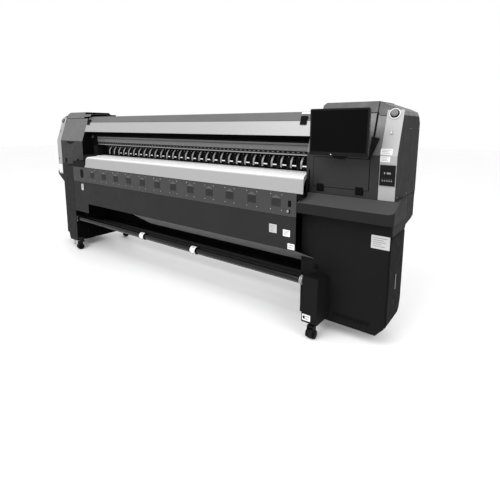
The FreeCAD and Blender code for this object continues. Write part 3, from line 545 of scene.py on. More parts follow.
def build_vents():
    """A pierced square over each drying fan, under a pointed row of fins. The square's wells and bars are
    painted darker as painted shade of the perforations, and the fins take a paler paint as painted
    highlight.
    """
    centres, height = fan_centres()
    plates, wells, bars, fins, corners = Shape(), Shape(), Shape(), Shape(), []
    for x in centres:
        place = on_front(x, FASCIA_Y, height)
        plates.prism(place, rounded(94, 88, 4), 0, 0.8)
        wells.prism(shifted(place, 0, 4), rounded(90, 67, 3), 0.8, 1.0)
        for i in range(9):
            y = -26 + 7.5 * i
            bars.box(place, -43, 43, y - 1.3, y + 1.3, 0.9, 2.2)
        for i in range(5):
            y = 40 + 5.4 * i
            half = 44 - 9 * i
            ridge = [(-half, y), (half, y), (half - 3, y + 3.6), (-half + 3, y + 3.6)]
            fins.prism(place, ridge, 0, 2.6, 0.05)
        corners += [shifted(place, sx, sy) for sx in (-52.5, 52.5) for sy in (-58, 69.5)]
    # The wells get a darker grey and the bars the lower fascia's darker paint as painted shade of the
    # perforations; the fins get the light grey paint as painted highlight.
    piece("vent_plates", plates, FASCIA_PAINT, "machine", 0.3)
    piece("vent_wells_painted_shade", wells, VENT_SHADE, "machine")
    piece("vent_bars", bars, FASCIA_LOW_PAINT, "machine")
    piece("vent_fins_painted_highlight", fins, LIGHT_PAINT, "machine")
    add_screws("vent_screws", corners, 4.2)


def build_fascia_details():
    latch("fascia_latch", on_front(1590, FASCIA_Y, 1027), 26, 50)
    key_lock("fascia_lock", on_front(1573, FASCIA_Y, 962), 11)
    label("fascia_label_a", on_front(1436, FASCIA_Y, 800), 74, 72, lines=5, stock=LABEL_SILVER)
    label("fascia_label_b", on_front(1566, FASCIA_Y, 781), 66, 55)
    label("fascia_label_c", on_front(1611, FASCIA_Y, 676), 64, 48, lines=2)
    oval = Shape().prism(on_front(-1478, FASCIA_Y, 1030), rounded(72, 112, 30, 8), 0, 1.5)
    piece("fascia_grip_slot", oval, BLACK_PLASTIC, "machine", 0.5)
    plate = Shape().prism(on_front(-1482, FASCIA_Y, 856), rounded(50, 84, 16, 6), 0, 1.2)
    piece("fascia_oval_plate", plate, LABEL_SILVER, "machine", 0.3)
    mark = Shape().prism(on_front(-1482, FASCIA_Y, 862), rounded(16, 30, 6), 1.2, 1.6)
    piece("fascia_oval_mark", mark, PALE_INK, "machine")
    places = [on_front(x, FASCIA_Y, 905) for x in range(-1560, 1641, 320)]
    add_screws("fascia_screws", places, 3, BLACK_PLASTIC)


def key_lock(name, place, radius):
    """Barrel lock with a slotted core."""
    barrel = Shape()
    barrel.lathe(place, [(0, 0), (radius, 0), (radius, 3), (radius * 0.8, 5), (radius * 0.45, 5),
                         (radius * 0.42, 3.6), (0, 3.6)])
    piece(name, barrel, CHROME, "machine")
    slot = Shape().box(place, -0.9, 0.9, -radius * 0.36, radius * 0.36, 3.4, 3.9)
    slot.prism(shifted(place, radius * 1.5, 0), rounded(radius * 1.1, radius * 2.6, 3), 0, 2.5)
    piece(name + "_keeper", slot, BLACK_PLASTIC, "machine", 0.3)


# ------------------------------------------------------------------ platen
def build_platen():
    """Folded white table with a rounded nose, a rounded left corner and a slanted right end."""
    x0, x1, y0, y1, z0, z1 = limits("platen")
    nose = Vector((y0 + 40, z1 - 52))
    profile = [(y0, z0), (y0 + 8, z0 + 38)]
    for i in range(9):
        turn = math.pi - math.radians(10) - math.radians(58) * i / 8
        profile.append((nose.x + 30 * math.cos(turn), nose.y + 12 + 30 * math.sin(turn)))
    profile += [(y0 + 146, z1 - 6), (y0 + 156, z1 - 2), (y0 + 170, z1), (y1, z1)]
    inner = [(y1, z1 - 20), (y0 + 174, z1 - 20), (y0 + 60, z1 - 64), (y0 + 30, z1 - 90), (y0 + 14, z0)]
    ring = profile + inner
    rounding = 36.0
    wedge = x1 - FASCIA_X1
    stations = [(x0 + 1.5 * rounding * (1 - math.cos(math.pi / 2 * i / 9)),
                 rounding * (1 - math.sin(math.pi / 2 * i / 9))) for i in range(10)]
    stations.append((x1, 0.0))
    shape = Shape()
    points, faces = [], []
    n = len(ring)
    for x, drop in stations:
        for y, z in ring:
            share = (z - z0) / (z1 - z0)
            back = min(1.0, (y - y0) / 143) if x == x1 else 0.0
            points.append((x - wedge * back, min(y + drop * 0.5 * share, y1), z - drop * share))
    for s in range(len(stations) - 1):
        for i in range(n):
            j = (i + 1) % n
            faces.append((s * n + i, s * n + j, (s + 1) * n + j, (s + 1) * n + i))
    last = (len(stations) - 1) * n
    faces += [tuple(range(n)), tuple(range(last, last + n))[::-1]]
    identity = Matrix.Scale(MM, 4)
    shape.add(identity, points, faces)
    table = piece("platen_table", shape, PLATEN_WHITE, "machine")
    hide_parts("platen")
    holes = Shape()
    for i in range(60):
        x = x0 + 80 + i * (FASCIA_X1 - x0 - 130) / 59
        for y in (y0 + 200, y0 + 236):
            holes.prism(on_top(x, y, z1), circle(2.2, 10), 0.02, 0.12)
    piece("platen_vacuum_holes", holes, VOID, "machine")


# ------------------------------------------------------------------ print window
PINCH_COUNT = 30


def pinch_positions():
    x0, x1 = limits("pinch_rollers")[:2]
    pitch = (x1 - x0 - 48) / (PINCH_COUNT - 1)
    return [x0 + 24 + i * pitch for i in range(PINCH_COUNT)]


def build_pinch_row():
    """Bright cast fingers with black spring housings over the rubber rollers."""
    fingers, housings, springs = Shape(), Shape(), Shape()
    face = [(-65, 1276), (-66, 1302), (-65, 1318), (-60, 1334), (-51, 1350), (-39, 1364), (-26, 1375)]
    back = [(-24, 1369), (-34, 1358), (-45, 1345), (-53, 1331), (-58, 1317), (-59.5, 1303), (-59.5, 1276)]
    for x in pinch_positions():
        fingers.prism(on_right(x + 12, 0, 0), face + back, 0, 18)
        housings.prism(on_right(x - 30, 0, 0), rounded(32, 72, 8, 4, -44, 1327), 0, 35)
        housings.lathe(on_front(x - 13, -60, 1322), [(0, 0), (8, 0), (8, 3), (6, 5), (0, 5)], 14)
        springs.lathe(on_top(x - 13, -44, 1365), [(5, 0), (6.5, 2), (5, 4), (6.5, 6), (5, 8), (0, 8)], 12)
    piece("pinch_fingers", fingers, LEVER_METAL, "pinch_lift", 1.2)
    piece("pinch_housings", housings, BLACK_PLASTIC, "pinch_lift", 1.0)
    piece("pinch_springs", springs, STEEL, "pinch_lift")


def build_beam_details():
    """Rail beam: black sheets of painted shade over its upper band, its left end and the encoder groove,
    bright edge, made-up encoder dashes, and a black sheet of painted shade on the window's left wall that
    hides the left end.
    """
    x0, _, y0 = limits("rail_beam")[:3]
    end = FASCIA_X1
    covers, dashes, trims = Shape(), Shape(), Shape()
    # Black sheets as painted shade: the band under the front cover, the left end of the beam, the encoder
    # groove and the window's left wall.
    covers.box(on_front(0, y0, 0), x0, end, 1493, 1555, 0, 1.2)
    covers.box(on_front(0, y0, 0), x0, x0 + 130, 1388, 1493, 0, 1.3)
    covers.box(on_front(0, -46, 0), x0 + 36, end, 1401, 1423, 0, 0.6)
    left_wall_shade = [(-188, 1252), (-188, 1430), (slope_y(1600) + 5, 1600), (68, 1600), (68, 1252)]
    covers.prism(on_right(LEFT_WALL_X, 0, 0), left_wall_shade, 0, 1.2)
    piece("beam_painted_shade", covers, VOID, "machine")
    trims.box(on_front(0, y0, 0), x0 + 130, end, 1389, 1395, 0, 1.2)
    piece("beam_bright_line", trims, STEEL, "machine", 0.3)
    for i in range(60):
        x = x0 + 160 + i * 52
        dashes.box(on_front(x, -46.6, 1411), -13, 13, -2.5, 2.5, 0, 0.5)
    piece("encoder_marks", dashes, GREY_PLASTIC, "machine")
    add_screws("beam_screws", [on_front(x0 + 200 + i * 130, y0, 1440) for i in range(24)], 3)


def build_carriage_details():
    x0, x1, y0, _, z0, z1 = limits("carriage_body")
    trims, tubes = Shape(), Shape()
    trims.prism(on_front((x0 + x1) / 2, y0, z0 + 90), rounded(x1 - x0 - 60, 90, 10), 0, 3)
    trims.box(on_front((x0 + x1) / 2, y0, z0 + 20), -150, 150, -5, 5, 0, 5)
    piece("carriage_trim", trims, BLACK_PLASTIC, "carriage", 1.5)
    for i in range(6):
        tubes.rod((x0 + 110 + i * 45, -60, z1 - 14), (x0 + 110 + i * 45, 10, z1 + 12), 5)
    piece("carriage_ink_ports", tubes, GREY_PLASTIC, "carriage")
    corners = [on_front(x, y0, z) for x in (x0 + 20, x1 - 20) for z in (z0 + 20, z0 + 130)]
    add_screws("carriage_screws", corners, 4, body="carriage")


# ------------------------------------------------------------------ towers
def build_hinges():
    """Door hinges under the access door and leaves on the window cover."""
    pins, low, high = Shape(), Shape(), Shape()
    for x in DOOR_HINGE_X:
        low.prism(on_front(x, TOWER_Y, 0), rounded(58, 35, 3, 4, 0, 1147.5), 0, 6)
        for i in (-1, 0, 1):
            low.box(on_front(x, TOWER_Y, 0), i * 18 - 7, i * 18 + 7, 1134, 1163, 0.5, 10)
        high.prism(on_front(x, DOOR_Y, 0), rounded(58, 18, 3, 4, 0, 1181), 0, 5)
        pins.rod((x - 29, DOOR_PIN_Y, DOOR_PIN_Z), (x + 29, DOOR_PIN_Y, DOOR_PIN_Z), 2.8)
    piece("door_hinge_lower", low, BLACK_PLASTIC, "machine", 1.0)
    piece("door_hinge_upper", high, BLACK_PLASTIC, "service_door", 1.0)
    piece("door_hinge_pins", pins, BLACK_PLASTIC, "machine")
    leaves, seats = Shape(), Shape()
    for x in COVER_HINGE_X:
        leaves.prism(on_slope(x, 1660.5), rounded(60, 34, 3), 0.2, 7.4)
        seats.prism(on_slope(x, 1699), rounded(60, 37, 3), -9, 7.4)
    piece("cover_hinge_leaves", leaves, BLACK_PLASTIC, "window_cover", 0.8)
    piece("cover_hinge_seats", seats, BLACK_PLASTIC, "machine", 0.8)
    places = [on_slope(x + side, 1660, 7.4) for x in COVER_HINGE_X for side in (-18, 18)]
    add_screws("cover_hinge_screws", places, 3, BLACK_PLASTIC, "window_cover")


def build_right_tower():
    slots = Shape().prism(on_front(GRIP_SLOT_X, TOWER_Y, 1210), rounded(12, 168, 5), 0, 1.0)
    piece("tower_grip_slot", slots, VOID, "machine")
    bracket = Shape().box(on_front(GRIP_SLOT_X, -262, 1096), -23, 23, -11, 12, 0, 78)
    bracket.prism(on_front(1669, -338, 1089), rounded(28, 44, 6), 0, 9)
    bracket.rod((1676, -262, 1104), (1676, -200, 1122), 6)
    piece("lift_rod_bracket", bracket, BLACK_PLASTIC, "machine", 1.5)
    brace = Shape()
    brace.prism(on_slope(0, 1480, 0.2), [(2150, -90), (2165, -90), (2208, 72), (2150, 85)], 0, 10)
    piece("monitor_brace", brace, BLACK_PAINT, "machine", 2.0)
    panel = (DOOR_Z0 + DOOR_Z1) / 2
    grip = Shape()
    grip.frame(on_front(1937, DOOR_Y, panel + 96), rounded(92, 20, 8), rounded(80, 10, 4), 0, 2)
    grip.prism(on_front(1937, DOOR_Y, panel + 96), rounded(81, 11, 4), 0, 0.6)
    piece("door_grip", grip, DARK_PAINT, "service_door", 0.5)
    gap = Shape()
    half_x, half_z = (DOOR_X1 - DOOR_X0) / 2, (DOOR_Z1 - DOOR_Z0) / 2
    outer = rectangle(-half_x - 4, half_x + 4, -half_z - 4, half_z + 4)
    inner = rectangle(-half_x, half_x, -half_z, half_z)
    gap.frame(on_front((DOOR_X0 + DOOR_X1) / 2, TOWER_Y, panel), outer, inner, 0, 0.6)
    piece("door_seal", gap, VOID, "machine")


def build_strip_controls():
    """Stickers, stop buttons and key on the silver strips."""
    label("strip_label_a", on_slope(2270, 1458, STRIP_LIFT), 82, 42, lines=3)
    label("strip_label_b", on_front(2266, STRIP_Y, 1407), 68, 38, lines=3)
    rings, inner = Shape(), Shape()
    for side, x, z in (("right", 2285, 1722), ("left", -2296, 1700)):
        place = on_slope(x, z, STRIP_LIFT)
        rings.lathe(place, [(33, 0.1), (42, 0.1), (42, 3), (39, 7), (35, 8), (33, 7.4)], 48, True)
        well = [(11.2, 0.1), (32.8, 0.1), (32.8, 6), (28, 7.4), (12.5, 7.4), (11.2, 7)]
        inner.lathe(place, well, 48, True)
        knob = Shape()
        knob.lathe(place, [(0, 5.6), (10.3, 5.6), (10.3, 12), (20, 13), (24.5, 14.5), (26, 17), (25.4, 21),
                           (22.5, 24.4), (17, 26.4), (9, 27), (0, 27)], 44)
        for turn in range(3):
            spin = place @ Matrix.Rotation(turn * 2 * math.pi / 3, 4, "Z")
            knob.prism(spin, [(8, -3), (17, -4), (16, 4), (8, 3)], 26, 27)
        button = piece("stop_%s_knob" % side, knob, GREY_PLASTIC, "stop_" + side)
        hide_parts(side + "_stop_button")
    collar = piece("stop_rings", rings, LABEL_SILVER, "machine")
    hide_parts("stop_button_rings")
    piece("stop_ring_wells", inner, BLACK_PLASTIC, "machine")
    key = Shape()
    place = on_slope(2285, 1587, STRIP_LIFT)
    key.lathe(place, [(0, 0), (12, 0), (12, 2.4), (9.5, 5), (6.5, 5), (6, 4), (0, 4)])
    key.prism(place, rounded(4.6, 19, 2), 3.8, 15.6)
    switch = piece("key_and_barrel", key, CHROME, "key", 0.4)
    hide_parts("key_switch")


def build_control_panel():
    x0, x1, y0, _, z0, z1 = limits("control_panel")
    middle = (x0 + x1) / 2
    rim = Shape()
    rim.frame(on_front(middle, y0, (z0 + z1) / 2), rounded(x1 - x0 - 2, z1 - z0 - 2, 10),
              rounded(x1 - x0 - 10, z1 - z0 - 10, 7), -0.4, 0.6)
    piece("panel_rim", rim, GLOSS_BLACK, "machine")
    digits, ticks = Shape(), Shape()
    for i in range(5):
        if i != 1:
            digits.prism(on_front(2270 + i * 9.5, y0, 1310), rounded(6.4, 13, 1.4), 0, 0.3)
    piece("panel_digits", digits, DIGITS, "machine")
    for i in range(1, 6):
        bx0, bx1, _, _, bz0, bz1 = limits("panel_button_%d" % i)
        centre = (bx0 + bx1) / 2
        ticks.prism(on_front(centre, y0, bz1 + 9), rounded(4.5, 2.2, 1), 0, 0.3)
        ticks.frame(on_front(centre, y0, (bz0 + bz1) / 2), circle(5.8, 20), circle(4.5, 20), 0, 0.4)
    piece("panel_ticks", ticks, GREY_PLASTIC, "machine")


def build_monitor():
    """Flat screen: back shell, bezel, sunk glass, stand stub and tilt knuckle."""
    x0, x1, y0, _, z0, z1 = limits("monitor")
    width, height = x1 - x0, z1 - z0
    place = on_front((x0 + x1) / 2, y0, (z0 + z1) / 2)
    body = Shape().prism(place, rounded(width - 4, height - 4, 9, 6), -30, -7)
    body.prism(place, rounded(width - 60, height - 60, 20, 6), -38, -29)
    frame_outer = rounded(width, height, 8, 6)
    opening = rounded(width - 26, height - 38, 2, 6, 0, 6)
    body.frame(place, frame_outer, opening, -8, 0)
    body.box(place, -28, 28, -12, 12, -69.5, -37.5)
    body.lathe(on_right((x0 + x1) / 2 - 50, y0 + 57.5, (z0 + z1) / 2),
               [(0, 0), (6, 0), (7, 1), (7, 99), (6, 100), (0, 100)], 24)
    shell = piece("monitor_shell", body, GLOSS_BLACK, "display", 1.2)
    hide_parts("monitor")
    glass = Shape().prism(place, rounded(width - 25, height - 37, 2, 6, 0, 6), -7.6, -3.0)
    piece("monitor_glass", glass, SCREEN_GLASS, "display")
    stub = Shape()
    arc = [(-57, 0), (-48, -14), (-30, -23), (0, -26), (30, -23), (48, -14), (57, 0)]
    stub.prism(shifted(place, 16, -height / 2 + 1), arc, -26, -10)
    piece("monitor_stub", stub, BLACK_PLASTIC, "display", 2.0)
    lamp = Shape().prism(shifted(place, -48, -height / 2 + 9), rounded(9, 5, 2), 0, 0.4)
    piece("monitor_lamp", lamp, LED, "display")
    keys, slots = Shape(), Shape()
    for i in range(5):
        keys.prism(shifted(place, 120 + i * 14, -height / 2 + 9), rounded(9, 3, 1.4), 0, 0.8)
    piece("monitor_keys", keys, BLACK_PLASTIC, "display")
    rear = on_back((x0 + x1) / 2, y0 + 38, (z0 + z1) / 2)
    for row in (-1, 1):
        for i in range(17):
            if abs(i - 8) > 2 or row > 0:
                slots.prism(shifted(rear, (i - 8) * 18, row * 95), rounded(5, 38, 2.4), -0.5, 0.4)
    piece("monitor_vents", slots, VOID, "display")


def build_left_tower():
    latch("left_latch_a", on_front(-2135, TOWER_Y, 1156), 46, 64)
    latch("left_latch_b", on_front(-1823, TOWER_Y, 1160), 46, 64)
    marks = Shape().prism(on_front(-1999, TOWER_Y, 1410), rounded(190, 22, 9), 0, 1.2)
    marks.prism(on_front(-1999, TOWER_Y, 1392), rounded(70, 12, 5), 0, 1.6)
    marks.prism(on_front(-1712, TOWER_Y, 1118), rounded(24, 30, 5), 0, 5)
    marks.lathe(on_front(-2318, STRIP_Y, 1172), [(0, 0), (12, 0), (12, 2), (9, 3), (0, 3)], 20)
    marks.lathe(on_slope(-2318, 1560, STRIP_LIFT), [(0, 0), (10, 0), (10, 2), (8, 3), (0, 3)], 20)
    piece("left_tower_grips", marks, BLACK_PLASTIC, "machine", 0.6)
    small = Shape().prism(on_front(-1959, TOWER_Y, 1315), [(-12, 9), (0, -10), (12, 9)], 0, 1.0)
    piece("left_tower_mark", small, LIGHT_PAINT, "machine")
    plate = Shape().prism(on_front(-2295, STRIP_Y, 1032), rounded(92, 118, 4), 0, 2)
    piece("left_strip_plate", plate, WHITE_PLASTIC, "machine", 0.5)


def build_hood_details():
    """Vents and hinge pins on the hoods, rubber seals round them and the nameplate."""
    seals = Shape()
    for side in ("right", "left"):
        x0, x1, y0, y1, z0, z1 = limits(side + "_hood")
        centre = (x0 + x1) / 2
        vents = Shape()
        louvres(vents, on_back(centre, y1, z0 + 20), 250, 30, 3)
        piece("hood_%s_vents" % side, vents, LIGHT_PAINT, "hood_" + side, 0.3)
        pins = Shape()
        for x in (x0 + 70, x1 - 70):
            pins.rod((x - 26, y1 + 2.5, z0 - 1), (x + 26, y1 + 2.5, z0 - 1), 4)
        piece("hood_%s_hinge_pins" % side, pins, STEEL, "machine")
        seals.box(on_slope(0, z0 - 2), x0, x1, -3, 3, -2.0, 1.0)
        edge = [(y0 + 1, z0 - 3), (y1 - 3, z0 - 3), (y1 - 3, z0 + 34), (y1 - 46, z1 - 2), (-56, z1 - 2)]
        seals.prism(on_right(x1 + 0.5, 0, 0), edge, 0, 3)
    seals.box(on_slope(2164, SLOPE_TOP_Z), -7, 7, -160, 24, -2.0, 1.4)
    piece("hood_seals", seals, BLACK_PLASTIC, "machine")
    cover_up = Vector((0, 45.1, 73)).normalized()
    plate = Shape().prism(placement((1576, -68.6, 1742.5), AXIS_X, cover_up), rounded(96, 17, 3), 0, 1.6)
    piece("cover_nameplate", plate, LABEL_WHITE, "machine", 0.4)


# ------------------------------------------------------------------ cabinets and take-up
def build_cabinet_details():
    label("cabinet_label", on_front(2283, CABINET_Y, 815), 132, 98, lines=5, stock=LABEL_SILVER)
    pad = Shape().prism(on_front(1789, CABINET_Y, 523), rounded(36, 40, 5), 0, 6)
    piece("cabinet_knob", pad, BLACK_PLASTIC, "machine", 1.5)
    fins = Shape()
    for slot in range(LOUVRE_COUNT):
        x = LOUVRE_X + slot * LOUVRE_PITCH
        fins.prism(on_front(x, CABINET_Y, 150), [(7, 0), (12, 0), (26, 35), (21, 35)], 0, 4, 0.05)
    piece("cabinet_louvre_fins", fins, BLACK_PAINT, "machine", 0.5)
    # Painted shade: a black sheet behind the louvre slots stands in for the dark inside of the cabinet.
    slot_shade = Shape()
    slot_shade.box(on_front(0, CABINET_Y + 3.3, 0), LOUVRE_X - 10, LOUVRE_X + 322, 142, 194, -0.8, 0)
    piece("cabinet_louvre_painted_shade", slot_shade, VOID, "machine")
    edges, heights = (CABINET_X0 + 18, CABINET_X1 - 18), (210, 420, 640, 930)
    places = [on_front(x, CABINET_Y, z) for x in edges for z in heights]
    add_screws("cabinet_screws", places, 3, BLACK_PLASTIC)
    handle = Shape().prism(on_right(CASING_X1, -40, 470), rounded(14, 120, 5), 0, 3)
    piece("cabinet_side_pull", handle, GREY_PLASTIC, "machine", 1.0)
    groove = Shape().box(on_right(CASING_X1, 0, 0), -239, -212, 176, 838, 0, 0.6)
    piece("cabinet_side_groove", groove, VOID, "machine")
    slats = Shape()
    louvres(slats, on_left(-2250, -40, 640), 160, 150, 8)
    piece("cabinet_side_slats", slats, BLACK_PAINT, "machine", 0.3)


def build_take_up_details():
    x0, _, y0, _, z0, _ = limits("take_up_gearbox")
    flat = on_front(x0 + 42, y0, z0 + 46) @ Matrix.Scale(0.1, 4, AXIS_Z)
    label("gearbox_label", flat, 70, 50, lines=2)
    badge = Shape().prism(shifted(flat, -20, 0), rounded(18, 24, 6), 0.6, 1.0)
    piece("gearbox_label_badge", badge, BLACK_PLASTIC, "machine")
    cover = Shape().prism(on_left(x0, TAKE_UP_Y, TAKE_UP_Z), rounded(92, 76, 12), -2, 3)
    piece("gearbox_covers", cover, BLACK_PAINT, "machine", 1.5)
    bands, caps = Shape(), Shape()
    for x in COLLAR_X:
        for side in (-42, 35):
            section = [(27.2, 0), (38, 0), (38, 7), (27.2, 7)]
            bands.lathe(on_right(x + side, TAKE_UP_Y, TAKE_UP_Z), section, 36, True)
        for turn in range(3):
            angle = turn * 2 * math.pi / 3
            start = (x, TAKE_UP_Y + 34 * math.cos(angle), TAKE_UP_Z + 34 * math.sin(angle))
            end = (x, TAKE_UP_Y + 42 * math.cos(angle), TAKE_UP_Z + 42 * math.sin(angle))
            bands.rod(start, end, 5)
    piece("collar_bands", bands, BLACK_PLASTIC, "take_up")
    caps.lathe(on_right(1692, TAKE_UP_Y, TAKE_UP_Z), [(28, 3), (39.5, 4), (39.5, 16), (28, 17)], 36, True)
    piece("tube_end_bands", caps, GREY_PLASTIC, "take_up")
    sleeve = Shape()
    section = [(9.4, -0.4), (38.6, -0.4), (38.6, 20.4), (9.4, 20.4)]
    sleeve.lathe(on_right(-1662, TAKE_UP_Y, TAKE_UP_Z), section, 36, True)
    piece("tube_end_sleeve", sleeve, BLACK_PLASTIC, "take_up", 0.4)


def build_lip_end():
    """Gusset where the slanted lip meets the gearbox."""
    gusset = Shape()
    x0 = limits("fascia_lip")[1]
    points = [(x0, -341, 646), (x0, -249, 587), (x0 + 118, -249, 587),
              (x0, -341, 643), (x0, -249, 584), (x0 + 118, -249, 584)]
    gusset.add(Matrix.Scale(MM, 4), points, [(0, 1, 2), (5, 4, 3), (0, 3, 4, 1), (1, 4, 5, 2), (2, 5, 3, 0)])
    piece("lip_gusset", gusset, GUSSET_PAINT, "machine")


def build_under_side():
    """Black sheets of painted shade in the space under the fascia, and the light fittings at its left end.
    """
    under_shade_sheets, metal = Shape(), Shape()
    # Painted shade: flat black sheets behind the fascia and on the inner face of the left leg.
    under_shade_sheets.box(on_front(0, 141.5, 0), FASCIA_X0, FASCIA_X1, 192, 878, 0, 0.5)
    under_shade_sheets.box(on_right(LEFT_WALL_X, 0, 0), -343, -198, 97, 1108, 0, 0.4)
    under_shade_sheets.box(on_right(LEFT_WALL_X, 0, 0), -188, 238, 97, 846, 0, 0.4)
    piece("under_side_painted_shade", under_shade_sheets, VOID, "machine")
    metal.box(on_right(-1678, 0, 0), -342, -316, 372, 442, 0.1, 1.6)
    metal.box(on_front(-1788, -330, 0), -18, 18, 74, 94, 0, 13)
    metal.rod((-1788, -337, 40), (-1788, -337, 74), 5)
    metal.rod((-1788, -337, 34), (-1788, -337, 42), 14)
    piece("left_end_fittings", metal, ZINC, "machine", 0.6)


def build_casters():
    """Hubs and nuts on the wheels, and lock nuts on the levelling feet."""
    for name, side in (("wheel_front_right", "right"), ("wheel_front_left", "left")):
        x0, x1, y0, y1, z0, z1 = limits("caster_wheel_front_" + side)
        y, z, radius = (y0 + y1) / 2, (z0 + z1) / 2, (z1 - z0) / 2
        centre = (x0 + x1) / 2
        hubs, caps = Shape(), Shape()
        for place in (on_right(centre + 22, y, z), on_left(centre - 22, y, z)):
            section = [(6, 0), (radius * 0.62, 0), (radius * 0.58, 1.6), (12, 2.4), (6, 2.4)]
            hubs.lathe(place, section, 28, True)
        piece(name + "_hubs", hubs, BLACK_PLASTIC, name)
        covers = Shape()
        for place in (on_right(x1, y, z), on_left(x0, y, z)):
            caps.prism(place, circle(7, 6), -2.5, -0.2)
            covers.lathe(place, [(0, 0), (radius - 3, 0), (radius - 3, 4), (radius - 9, 6.5), (0, 7)], 32)
        swivel = name.replace("wheel", "swivel")
        piece(swivel + "_covers", covers, BLACK_PLASTIC, swivel, 0.6)
        piece(name + "_nuts", caps, ZINC, name, 0.4)
    nuts = Shape()
    for x in FOOT_X:
        for y in FOOT_Y:
            nuts.prism(on_top(x, y, 0), circle(16, 6), 70, 82)
            nuts.lathe(on_top(x, y, 0), [(9.2, 16), (24, 16), (20, 22), (9.2, 24)], 28, True)
    piece("foot_lock_nuts", nuts, ZINC, "machine", 0.8)


# ------------------------------------------------------------------ sides and back
def build_end_panels():
    """Screws on both ends, and the intake with its guard on the far end."""
    corners = ((-150, 1135), (100, 1135), (345, 1135), (100, 1620), (345, 1620))
    places = [make(x, y, z) for x, make in ((TOWER_X1, on_right), (TOWER_X0, on_left)) for y, z in corners]
    add_screws("end_screws", places, 3.5)
    guard, slats, recess = Shape(), Shape(), Shape()
    finger_guard(guard, on_left(TOWER_X0, 190, 1250), 58)
    piece("end_guard", guard, BLACK_PLASTIC, "machine")
    louvres(slats, on_left(TOWER_X0, 190, 1440), 180, 96, 6)
    piece("end_slats", slats, LIGHT_PAINT, "machine", 0.3)
    recess.frame(on_left(TOWER_X0, 190, 1580), rounded(130, 34, 12), rounded(112, 20, 8), 0, 2.5)
    recess.prism(on_left(TOWER_X0, 190, 1580), rounded(113, 21, 8), 0, 0.5)
    piece("end_grip", recess, BLACK_PLASTIC, "machine", 0.6)


def build_back():
    y = TOWER_BACK
    fans, slats, plugs, metal = Shape(), Shape(), Shape(), Shape()
    for x in (1850, 2080, -2100, -1860):
        finger_guard(fans, on_back(x, y, 1480), 62)
        louvres(slats, on_back(x, y, 1240), 180, 150, 9)
    piece("back_fan_guards", fans, STEEL, "machine")
    piece("back_slats", slats, DARK_PAINT, "machine", 0.3)
    columns, rows = (1675, 2000, 2325, -2325, -2000, -1712), ((249, 1300), (249, 1720), (y, 230), (y, 850))
    places = [on_back(x, y, z) for x in columns for z in (930, 1280, 1640)]
    places += [on_back(-1600 + i * 400, depth, z) for i in range(9) for depth, z in rows]
    add_screws("back_screws", places, 3.5)
    inlet = on_back(2230, y, 985)
    plugs.frame(inlet, rounded(96, 60, 6), rounded(50, 34, 4), 0, 4)
    plugs.prism(inlet, rounded(51, 35, 4), 0, 1)
    plugs.prism(shifted(inlet, 36, 0), rounded(18, 26, 3), 4, 9)
    for i in range(4):
        gland = on_back(2120 - i * 60, y, 985)
        plugs.lathe(gland, [(0, 0), (16, 0), (16, 8), (13, 10), (13, 18), (8, 22), (0, 22)], 24)
    piece("power_inlet", plugs, BLACK_PLASTIC, "machine", 0.6)
    for side in (-8, 8):
        metal.box(inlet, side - 1.2, side + 1.2, -4, 4, 1, 3)
    metal.box(inlet, -1.2, 1.2, 5, 11, 1, 3)
    piece("power_inlet_pins", metal, ZINC, "machine")
    label("rating_plate", on_back(1930, y, 990), 110, 70, lines=5, stock=LABEL_SILVER)


def build_supply_details():
    hubs, places = Shape(), []
    for chuck in (on_right(-1546, SUPPLY_Y, SUPPLY_Z), on_left(1506, SUPPLY_Y, SUPPLY_Z)):
        hubs.lathe(chuck, [(38.2, 0), (58, 0), (56, 10), (46, 22), (38.2, 22)], 36, True)
        for turn in range(4):
            angle = math.pi / 4 + turn * math.pi / 2
            places.append(shifted(chuck, 64 * math.cos(angle), 64 * math.sin(angle)))
    piece("supply_chucks", hubs, BLACK_PLASTIC, "supply", 0.8)
    add_screws("supply_screws", places, 3.5, body="supply")


# ------------------------------------------------------------------ camera, floor and light
CAMERA_PLACE = (3.0514, -2.860, 1.625)
CAMERA_TURN, CAMERA_DIP, CAMERA_ROLL = 36.77, 9.07, 0.24
LENS, SENSOR_WIDTH = 26.755, 36.0
LENS_SHIFT = (0.005, -0.127)


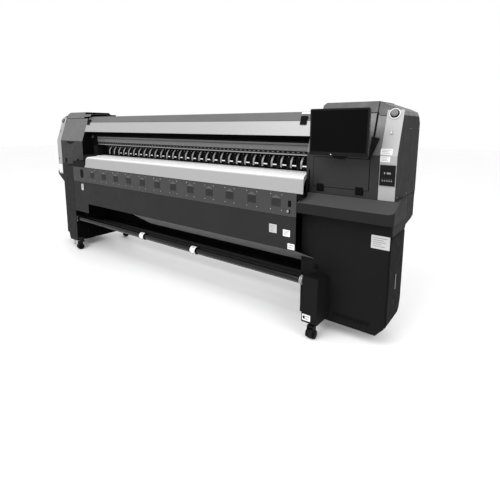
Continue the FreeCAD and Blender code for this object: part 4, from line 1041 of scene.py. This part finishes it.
def build_studio():
    floor_mesh = bpy.data.meshes.new("floor")
    reach, level = 30.0, -0.001
    corners = [(x, y, level) for x, y in rectangle(-reach, reach, -reach, reach)]
    floor_mesh.from_pydata(corners, [], [(0, 1, 2, 3)])
    floor_finish = Finish("studio_floor", grey(0.97), 1.0)
    floor_finish.tint(floor_finish.noise(0.6, 2.0), 0.01)
    floor_mesh.materials.append(floor_finish.material)
    floor = bpy.data.objects.new("floor", floor_mesh)
    bpy.context.scene.collection.objects.link(floor)
    world = bpy.data.worlds.new("studio")
    world.use_nodes = True
    world.node_tree.nodes["Background"].inputs[0].default_value = (1, 1, 1, 1)
    world.node_tree.nodes["Background"].inputs[1].default_value = 1.0
    bpy.context.scene.world = world
    for name, place, target, size, power in (
            ("key", (0.5, -4.5, 5.0), (0, 0, 1.2), 4.0, 260),
            ("fill", (5.5, -1.5, 3.5), (1.8, 0, 1.0), 3.0, 70)):
        light = bpy.data.lights.new(name, "AREA")
        light.size = size
        light.energy = power
        lamp = bpy.data.objects.new(name, light)
        lamp.location = place
        aim = Vector(target) - Vector(place)
        lamp.rotation_euler = aim.to_track_quat("-Z", "Y").to_euler()
        bpy.context.scene.collection.objects.link(lamp)
    bpy.context.scene.view_settings.view_transform = "Standard"


def build_camera():
    """Wide view from the right, a little above the towers."""
    data = bpy.data.cameras.new("camera")
    data.lens, data.sensor_width = LENS, SENSOR_WIDTH
    data.shift_x, data.shift_y = LENS_SHIFT
    data.clip_end = 100.0
    camera = bpy.data.objects.new("camera", data)
    camera.location = CAMERA_PLACE
    turn, dip, roll = (math.radians(angle) for angle in (CAMERA_TURN, CAMERA_DIP, CAMERA_ROLL))
    camera.rotation_euler = (Matrix.Rotation(turn, 3, "Z") @ Matrix.Rotation(math.pi / 2 - dip, 3, "X")
                             @ Matrix.Rotation(roll, 3, "Z")).to_euler()
    bpy.context.scene.collection.objects.link(camera)
    bpy.context.scene.camera = camera


build_camera()
build_studio()
finish_cad_parts()
build_vents()
build_fascia_details()
build_platen()
build_pinch_row()
build_beam_details()
build_carriage_details()
build_hinges()
build_right_tower()
build_strip_controls()
build_control_panel()
build_monitor()
build_left_tower()
build_hood_details()
build_cabinet_details()
build_take_up_details()
build_lip_end()
build_under_side()
build_casters()
build_end_panels()
build_back()
build_supply_details()
